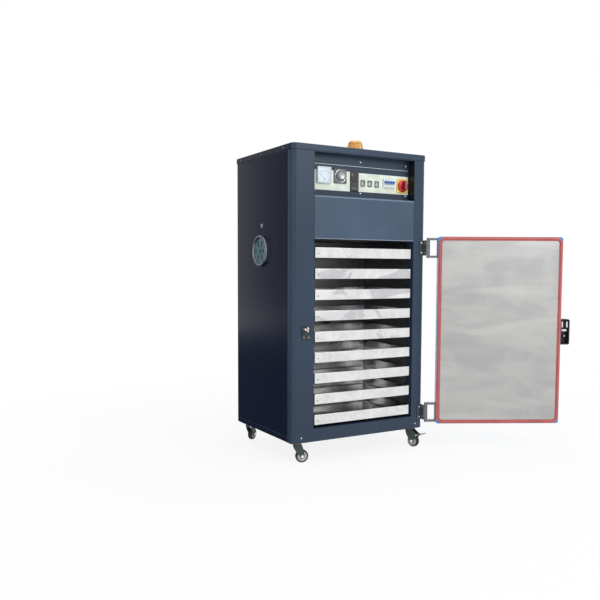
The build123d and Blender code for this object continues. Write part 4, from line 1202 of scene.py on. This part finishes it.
def makeController(g):
    at, top = g["middle"], g["proud"]
    face = top - 0.8
    edge = [(0, top - 2), (0.6, top - 0.6), (1.8, top), (3.0, top), (3.6, face), (full, face)]
    shellPlastic = moulded("controllerPlastic", colour(48, 52, 57))
    case = instrumentCase(g, 3, edge)
    piece = case.make("controllerCase", "cabinet", "black_plastic", shellPlastic)
    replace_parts(piece, "temperature_controller")
    window = rings((37, 44), 1.5, [(0, 0), (0, 0.3), (0.4, 0.5), (full, 0.5)], 3)
    pane = Finish("displayWindow", colour(12, 12, 14), 0.08, Coat_Weight=0.6)
    pane.set(Roughness=0.06 + pane.noise(90, 4) * 0.1)
    pane.bump(pane.noise(300, 2), 0.000004)
    glass = Shape().add(onPanel(at, window, 0, 19, face))
    glass.make("controllerWindow", "cabinet", "black_plastic", pane)
    for name, text, up, size, light in (
        ("measuredFigures", "060", 28, (6.4, 12, 1.5), (92, 34, 32)),
        ("wantedFigures", "065", 10, (5.0, 9, 1.2), (40, 74, 46)),
    ):
        glow = moulded(name + "Bars", colour(*light), 0.3)
        figures = Shape()
        for grid in segments(text, *size):
            figures.add(onPanel(at, grid, 0, up, face + 0.5))
        figures.make(name, "cabinet", "black_plastic", glow)
    keys = Shape()
    key = rings((7.6, 6.2), 1.6, [(0, 0), (0, 0.6), (0.5, 1.1), (1.6, 1.2), (full, 1.1)], 3)
    for across in (-13.5, -4.5, 4.5, 13.5):
        keys.add(onPanel(at, key, across, -34, face))
    lamp = lathe([(1.1, 0), (1.1, 0.4), (0.6, 0.7), (0, 0.8)], 14)
    for across in (-12, -4, 4, 12):
        keys.add(onPanel(at, lamp, across, -12, face), 1)
    keyRubber = moulded("keyRubber", colour(112, 118, 122), 0.6)
    keys.make("controllerKeys", "cabinet", "black_plastic", keyRubber, redPlastic)


makeController(controller)


def makeRockers(p):
    # a rocker's face dips along its height like a shallow saddle
    width, height, thick = 17.6, 23.6, 3.4
    tip = tipped(math.radians(-8))
    a, b = np.meshgrid(np.linspace(-1, 1, 11), np.linspace(-1, 1, 17), indexing="ij")
    lift = 1.8 + 1.6 * b**2 - 0.5 * a**2 - 4.5 * np.maximum(np.abs(b) - 0.9, 0)
    top = np.stack([a * width / 2, b * height / 2, lift], -1)
    back = top.copy()
    back[..., 2] = -thick
    walls = ((back[0], top[0], -1), (back[-1], top[-1], 1))
    walls += ((back[:, 0], top[:, 0], 1), (back[:, -1], top[:, -1], -1))
    grids = [top, back[::-1]] + [np.stack([low, high], 1)[::step] for low, high, step in walls]
    for index, x in enumerate(p["rockers"]):
        node = f"rocker_{index + 1}"
        z = p["rockerZ"]
        shape = Shape()
        for grid in grids:
            shape.add(put(grid @ tip, "front", (x, panelFront + 1, z)))
        dash = moved(bar(0.8, 4.4, 0.1), 0, 7.2, 2.6)
        ringMark = lathe([(1.6, 0), (1.6, 0.1), (2.2, 0.1), (2.2, 0), (1.6, 0)], 24)
        ringMark = moved(ringMark, 0, -7.2, 2.6)
        for mark in (dash, ringMark):
            shape.add(put(mark @ tip, "front", (x, panelFront + 1, z)), 1)
        for side, way in ((-1, "left"), (1, "right")):
            pin = lathe([(1.15, -0.5), (1.15, 2.0), (0, 2.0)], 16)
            shape.add(put(pin, way, (x + side * width / 2, panelFront + 1, z)), 0)
        piece = shape.make(f"rockerCap{index + 1}", node, "black_plastic", rockerPlastic, blackInk)
        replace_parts(piece, node)


rockerPlastic = moulded("rockerPlastic", colour(176, 184, 184), 0.22)
makeRockers(panel)

breaker = {"middle": (191, 1393), "width": 72, "front": 9, "poles": 4, "axisOut": 3}


def makeBreaker(g):
    at, width = g["middle"], g["width"]
    pole = width / g["poles"]
    seams = Shape()
    for index in range(1, g["poles"]):
        across = -width / 2 + index * pole
        for up in (15.9, -15.9):
            seams.add(onPanel(at, bar(0.5, 13.2, 0.06), across, up, g["front"]))
    for index in range(g["poles"]):
        across = -width / 2 + (index + 0.5) * pole
        seams.add(onPanel(at, bar(5, 2, 0.08), across, -13, g["front"]))
    seamGrey = moulded("seamGrey", colour(120, 126, 128))
    seams.make("breakerSeams", "cabinet", "black_plastic", seamGrey)
    lever = Shape()
    tip = tipped(math.radians(-20))
    blade = rings((9.2, 9), 1.8, [(0, 0), (0.1, 12), (0.3, 16.4), (0.9, 18.2), (1.6, 18.9), (full, 19)], 4)
    drum = lathe([(0, -6.2), (5.4, -6.2), (5.9, -5.8), (5.9, 5.8), (5.4, 6.2), (0, 6.2)], 32)
    drum = drum[..., [2, 0, 1]]
    for index in range(g["poles"]):
        across = -width / 2 + (index + 0.5) * pole * 0.94 + width * 0.03
        lever.add(onPanel(at, blade @ tip, across, 0, g["axisOut"]))
        lever.add(onPanel(at, drum, across, 0, g["axisOut"]), 1)
    tie = rod(1.6, -31, 31, 16)[..., [2, 0, 1]]
    lever.add(onPanel(at, tie, 0, 0, g["axisOut"]), 1)
    piece = lever.make("breakerLevers", "breaker_toggle", "toggle_blue", bluePlastic, whitePlastic)
    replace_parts(piece, "breaker_toggle")


makeBreaker(breaker)

isolator = {"middle": (279, 1383), "plate": 5, "disc": (30, 9), "grip": (50, 13, 22)}


def makeIsolator(g):
    at, base = g["middle"], g["plate"] + 0.3
    knob = Shape()
    r, h = g["disc"]
    disc = lathe([(0, 0), (r - 1, 0), (r, 0.8), (r, h - 3), (r - 0.8, h - 1.4), (r - 3, h), (0, h)], 96)
    turn = np.linspace(0, 2 * np.pi, 97)
    notch = np.clip(np.cos(8 * turn) - 0.55, 0, 1)[:, None] * (disc[..., 2] > 0.5)
    reach = np.hypot(disc[..., 0], disc[..., 1])
    shrink = 1 - 0.16 * notch * (reach > r - 4)
    disc[..., :2] *= shrink[..., None]
    knob.add(onPanel(at, disc, out=base))
    hub = lathe([(19, 0), (18.4, 5), (17.2, 6.6), (0, 7)], 64)
    knob.add(onPanel(at, hub, out=base + h), 1)
    wide, thick, tall = g["grip"]
    side = [(0, 0), (0.6, tall / 2), (1.1, tall - 3), (1.9, tall - 0.9), (3.2, tall), (full, tall)]
    grip = rings((thick, wide), thick / 2, side, 8)
    knob.add(onPanel(at, grip, out=base + h), 1)
    # the thin white ridge along the grip is a painted highlight
    highlightRidge = rings((1.3, 30), 0.6, [(0, 0), (0, 0.4), (0.4, 0.7), (full, 0.7)], 4)
    knob.add(onPanel(at, highlightRidge, out=base + h + tall), 2)
    knob.add(onPanel(at, rod(3.9, -5.2, 0.2), out=base), 1)
    piece = knob.make("isolatorHandle", "isolator_knob", "red_knob", redPlastic, deepRedPlastic, whiteInk)
    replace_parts(piece, "isolator_knob")
    words = [("0", 5.5, 0, 32.2), ("I", 5.5, 32.2, 0)]
    lettering("isolatorMarks", words, at, g["plate"], blackInk, 0.1)
    corners = Shape()
    for across in (-30, 30):
        for up in (-30, 30):
            corners.add(onPanel(at, screwHead(2.4, 0.9), across, up, g["plate"]))
    corners.make("isolatorScrews", "cabinet", "chrome", chrome)


makeIsolator(isolator)
print("control panel made")


# Warning lamp
beacon = {
    "middle": (85, 200, 1561.2),
    "foot": 49,
    "top": 34,
    "height": 60,
    "ribs": 40,
    "wall": 2.2,
    "bandBottom": 1546,
}


def makeBeacon(g):
    foot, top, height, wall = g["foot"], g["top"], g["height"], g["wall"]
    outer = [(foot - 3.0, 0), (foot - 0.6, 0), (foot - 0.6, 4), (foot - 2.4, 5)]
    outer += [(foot - 2.4 + (top - foot + 3.4) * t, 5 + (height - 17) * t) for t in np.linspace(0.05, 1, 9)]
    turn = np.linspace(0, np.pi / 2, 9)[1:]
    edge = outer[-1]
    outer += [(edge[0] - 12 + 12 * math.cos(v), edge[1] + 12 * math.sin(v)) for v in turn]
    outer = outer + [(12, height - 0.2), (0, height)]
    inner = [(0, height - wall), (edge[0] - 12, height - wall), (edge[0] - wall, edge[1]), (foot - 3.0, 0)]
    shell = lathe(outer + inner, 320, g["ribs"], 0.5, 13)
    shell[:, -3:, :] = lathe(inner[1:], 320)
    cap = Shape().add(put(shell, "up", g["middle"]))
    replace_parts(cap.make("beaconCap", "cabinet", "amber", amberLens, sharp=60), "beacon_lens")
    core = Shape()
    dish = lathe([(26, 0), (26, 2), (22, 2.5), (14, 4), (0, 4)], 48)
    core.add(put(dish, "up", g["middle"]))
    bulb = lathe([(6, 4), (6, 14), (9, 20), (10, 28), (8, 34), (4, 38), (0, 39)], 32)
    core.add(put(bulb, "up", g["middle"]), 1)
    glass = Finish("bulbGlass", (0.9, 0.86, 0.74, 1), 0.1, Specular_IOR_Level=0.8)
    glass.set(Roughness=0.06 + glass.noise(50) * 0.1)
    core.make("beaconLamp", "cabinet", "chrome", chrome, glass)
    band = lathe([(51.0, 0), (52, 0.8), (52, 2.6), (51.0, 3.4)], 96)
    hoop = Shape().add(put(band, "up", (*g["middle"][:2], g["bandBottom"])))
    hoop.make("beaconFootBand", "cabinet", "black_plastic", blackRubber)


makeBeacon(beacon)

# Casters
casters = {
    "places": ((-350, 46), (350, 46), (-350, 574), (350, 574)),
    "headings": (-17, -72, 35, 160),
    "trail": 26,
    "wheelRadius": 32,
    "cheek": 14,
    "crownTop": 95.4,
    "crownBottom": 91.7,
    "pedalPin": (53, 67),
    "braked": (2, 4),
    "boltAcross": 37,
    "boltUp": 23,
    "plateFace": 102,
    "raceBottom": 96.6,
}


def outlined(points, profile):
    # u runs round an outline and v along (inset, height) pairs, closing on the outline's middle
    ahead = np.roll(points, -1, 0) - np.roll(points, 1, 0)
    ahead /= np.linalg.norm(ahead, axis=1, keepdims=True)
    inward = np.stack([-ahead[:, 1], ahead[:, 0]], -1)
    columns = []
    centre = np.broadcast_to(points.mean(0), points.shape)
    for inset, height in profile:
        ring = centre if inset == full else points + inward * inset
        columns.append(np.column_stack([ring, np.full(len(points), height)]))
    grid = np.stack(columns, 1)
    return np.concatenate([grid, grid[:1]])


def arc(middle, radius, start, end, steps=14):
    turn = np.radians(np.linspace(start, end, steps))
    return np.array(middle) + radius * np.stack([np.cos(turn), np.sin(turn)], -1)


def curve(first, pull, last, steps=8):
    # a quadratic curve between two places, pulled towards a third
    t = np.linspace(0, 1, steps)[:, None]
    return (1 - t) ** 2 * np.array(first) + 2 * t * (1 - t) * np.array(pull) + t**2 * np.array(last)


def cheekOutline(g, braked):
    # a fork's cheek from its side: down behind, round the axle, up to the swivel or the pedal's ear
    along, low, top = g["trail"], g["wheelRadius"], g["crownTop"]
    shape = [curve((-17, top), (-16, 62), (along - 10.8, low + 2)), arc((along, low), 11, 170, 368)[1:]]
    if braked:
        shape += [curve((along + 10.4, low + 6), (46, 48), (53, 60))]
        shape += [arc(g["pedalPin"], 7, -90, 90)[1:]]
        shape += [curve((53, 74), (36, 84), (22, top))[1:]]
    else:
        shape += [curve((along + 10.4, low + 6), (34, 70), (21, top))]
    return np.concatenate(shape)


def makeForks(g):
    for index, ((x, y), heading) in enumerate(zip(g["places"], g["headings"]), start=1):
        braked = index in g["braked"]
        h = math.radians(heading)
        turn = np.array([[math.cos(h), math.sin(h), 0], [-math.sin(h), math.cos(h), 0], [0, 0, 1]])

        def stand(points):
            return (points * 1000 @ turn + np.array([x, y, 0])) * 0.001

        shape = Shape()
        outline = cheekOutline(g, braked)
        plate = [(full, 0), (0.3, 0), (0, 0.5), (0, 2.4), (0.6, 3), (2.6, 3), (3.6, 2.1), (full, 2.1)]
        shape.add(stand(put(outlined(outline, plate), "front", (0, -g["cheek"], 0))))
        other = (outline * (-1, 1))[::-1]
        shape.add(stand(put(outlined(other, plate), "back", (0, g["cheek"], 0))))
        crown = [(6.4, 0), (21.2, 0), (22, 0.8), (22, 3.2), (21.2, 4), (6.4, 4), (6.4, 0)]
        shape.add(stand(put(lathe(crown, 48), "up", (0, 0, g["crownBottom"]))))
        pins = [(g["trail"], g["wheelRadius"], 4, 7.8, 3.9)]
        if braked:
            pins.append((*g["pedalPin"], 2.4, 4.4, 1.6))
        for along, up, radius, head, tall in pins:
            shape.add(stand(put(rod(radius, -17, 17), "front", (along, 0, up))), 1)
            cap = [(0, 0), (head, 0), (head, tall * 0.5), (head * 0.8, tall * 0.9), (0, tall)]
            cap = lathe(cap, 28)
            for way, side in (("front", -17), ("back", 17)):
                shape.add(stand(put(cap, way, (along, side, up))), 1)
        node = f"caster_fork_{index}"
        piece = shape.make(f"forkPressing{index}", node, "fork_paint", forkPaint, chrome)
        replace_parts(piece, node)


def makeCasters(g):
    bolts, races = Shape(), Shape()
    hexagon = lathe([(0, 0), (4.6, 0), (4.6, 2.6), (4.0, 3.2), (0, 3.2)], 6)
    race = [(22.1, 0), (24.6, 0), (25.2, 0.8), (25.2, 4.2), (24.6, 5), (22.1, 5), (22.1, 0)]
    race = lathe(race, 56)
    for index, ((x, y), heading) in enumerate(zip(g["places"], g["headings"]), start=1):
        for a in (-g["boltAcross"], g["boltAcross"]):
            for b in (-g["boltUp"], g["boltUp"]):
                bolts.add(put(hexagon, "down", (x + a, y + b, g["plateFace"])))
        races.add(put(race, "up", (x, y, g["raceBottom"])))
        c, s = math.cos(math.radians(heading)), math.sin(math.radians(heading))
        centre = np.array([x + g["trail"] * c, y + g["trail"] * s, g["wheelRadius"]])
        finish = wheelFinish(f"wheel{index}", tuple(centre * 0.001), (-s, c, 0))
        finishNode(finish, f"caster_wheel_{index}")
    bolts.make("casterBolts", "cabinet", "chrome", chrome)
    races.make("casterRaces", "cabinet", "galvanised", bronze)


makeCasters(casters)
makeForks(casters)
print("casters made")


# Floor, walls of light and lamps
def backdrop(name, corners, finish):
    mesh = bpy.data.meshes.new(name)
    mesh.from_pydata(corners, [], [(0, 1, 2, 3)])
    mesh.materials.append(finish.material)
    sheet = placed(name, mesh)
    return sheet


def studio(size=30):
    card = Finish("floorCard", (0.9, 0.9, 0.9, 1), 0.9, Specular_IOR_Level=0.0)
    glow = card.node("ShaderNodeEmission", {}, {"Color": (1, 1, 1, 1), "Strength": 1.0})
    away = card.vector("LENGTH", card.place, give="Value")
    whole = card.seen() * card.ramp(away, 0.8, 3.2, 0.87, 1.0)  # shadows near, plain white far off
    sockets = {0: whole, 1: card.shader.outputs[0], 2: glow.outputs[0]}
    card.fill(card.end, {"Surface": card.node("ShaderNodeMixShader", {}, sockets).outputs[0]})
    corners = [(-size, -size, 0), (size, -size, 0), (size, size, 0), (-size, size, 0)]
    backdrop("floor", corners, card)

    cloth = Finish("flagCloth", (0.02, 0.024, 0.03, 1), 0.9)
    height = cloth.ramp(cloth.along(2), 0.2, 3.2)
    cloth.set(Base_Color=cloth.mix(height, (0.02, 0.036, 0.07, 1), (0.006, 0.01, 0.02, 1)))
    flags = {  # dark cloths that only reflections see
        "leftFlag": [(-2.9, 1.6, 0), (-6.5, 14, 0), (-6.5, 14, 7), (-2.9, 1.6, 7)],
        "lowFlag": [(-0.43, 0.1, 0.002), (-0.43, 7, 0.002), (-6.4, 7, 0.002), (-4.2, 0.1, 0.002)],
    }
    for name, corners in flags.items():
        flag = backdrop(name, corners, cloth)
        flag.visible_camera = flag.visible_shadow = flag.visible_diffuse = False

    world = bpy.data.worlds.new("studio")
    bpy.context.scene.world = world
    world.use_nodes = True
    sky = Graph(world.node_tree)
    shade = sky.mix(sky.seen(), (0.62, 0.64, 0.67, 1), (1, 1, 1, 1))
    light = sky.node("ShaderNodeBackground", {}, {"Color": shade})
    sky.node("ShaderNodeOutputWorld", {}, {"Surface": light.outputs[0]})

    for name, place, aim, width, power in (
        ("keyPanel", (1.2, -4.2, 3.4), (0, 0, 0.8), 2.6, 95),
        ("fillPanel", (-4.6, -1.2, 2.4), (0, 0.2, 0.8), 2.4, 16),
        ("topPanel", (0.2, 0.6, 5.2), (0, 0.3, 0), 3.0, 55),
    ):
        light = bpy.data.lights.new(name, "AREA")
        light.size, light.energy = width, power
        lamp = placed(name, light)
        lamp.location = place
        lamp.rotation_euler = (Vector(aim) - Vector(place)).to_track_quat("-Z", "Y").to_euler()
    bpy.context.scene.view_settings.view_transform = "Standard"


studio()
print("studio lit")
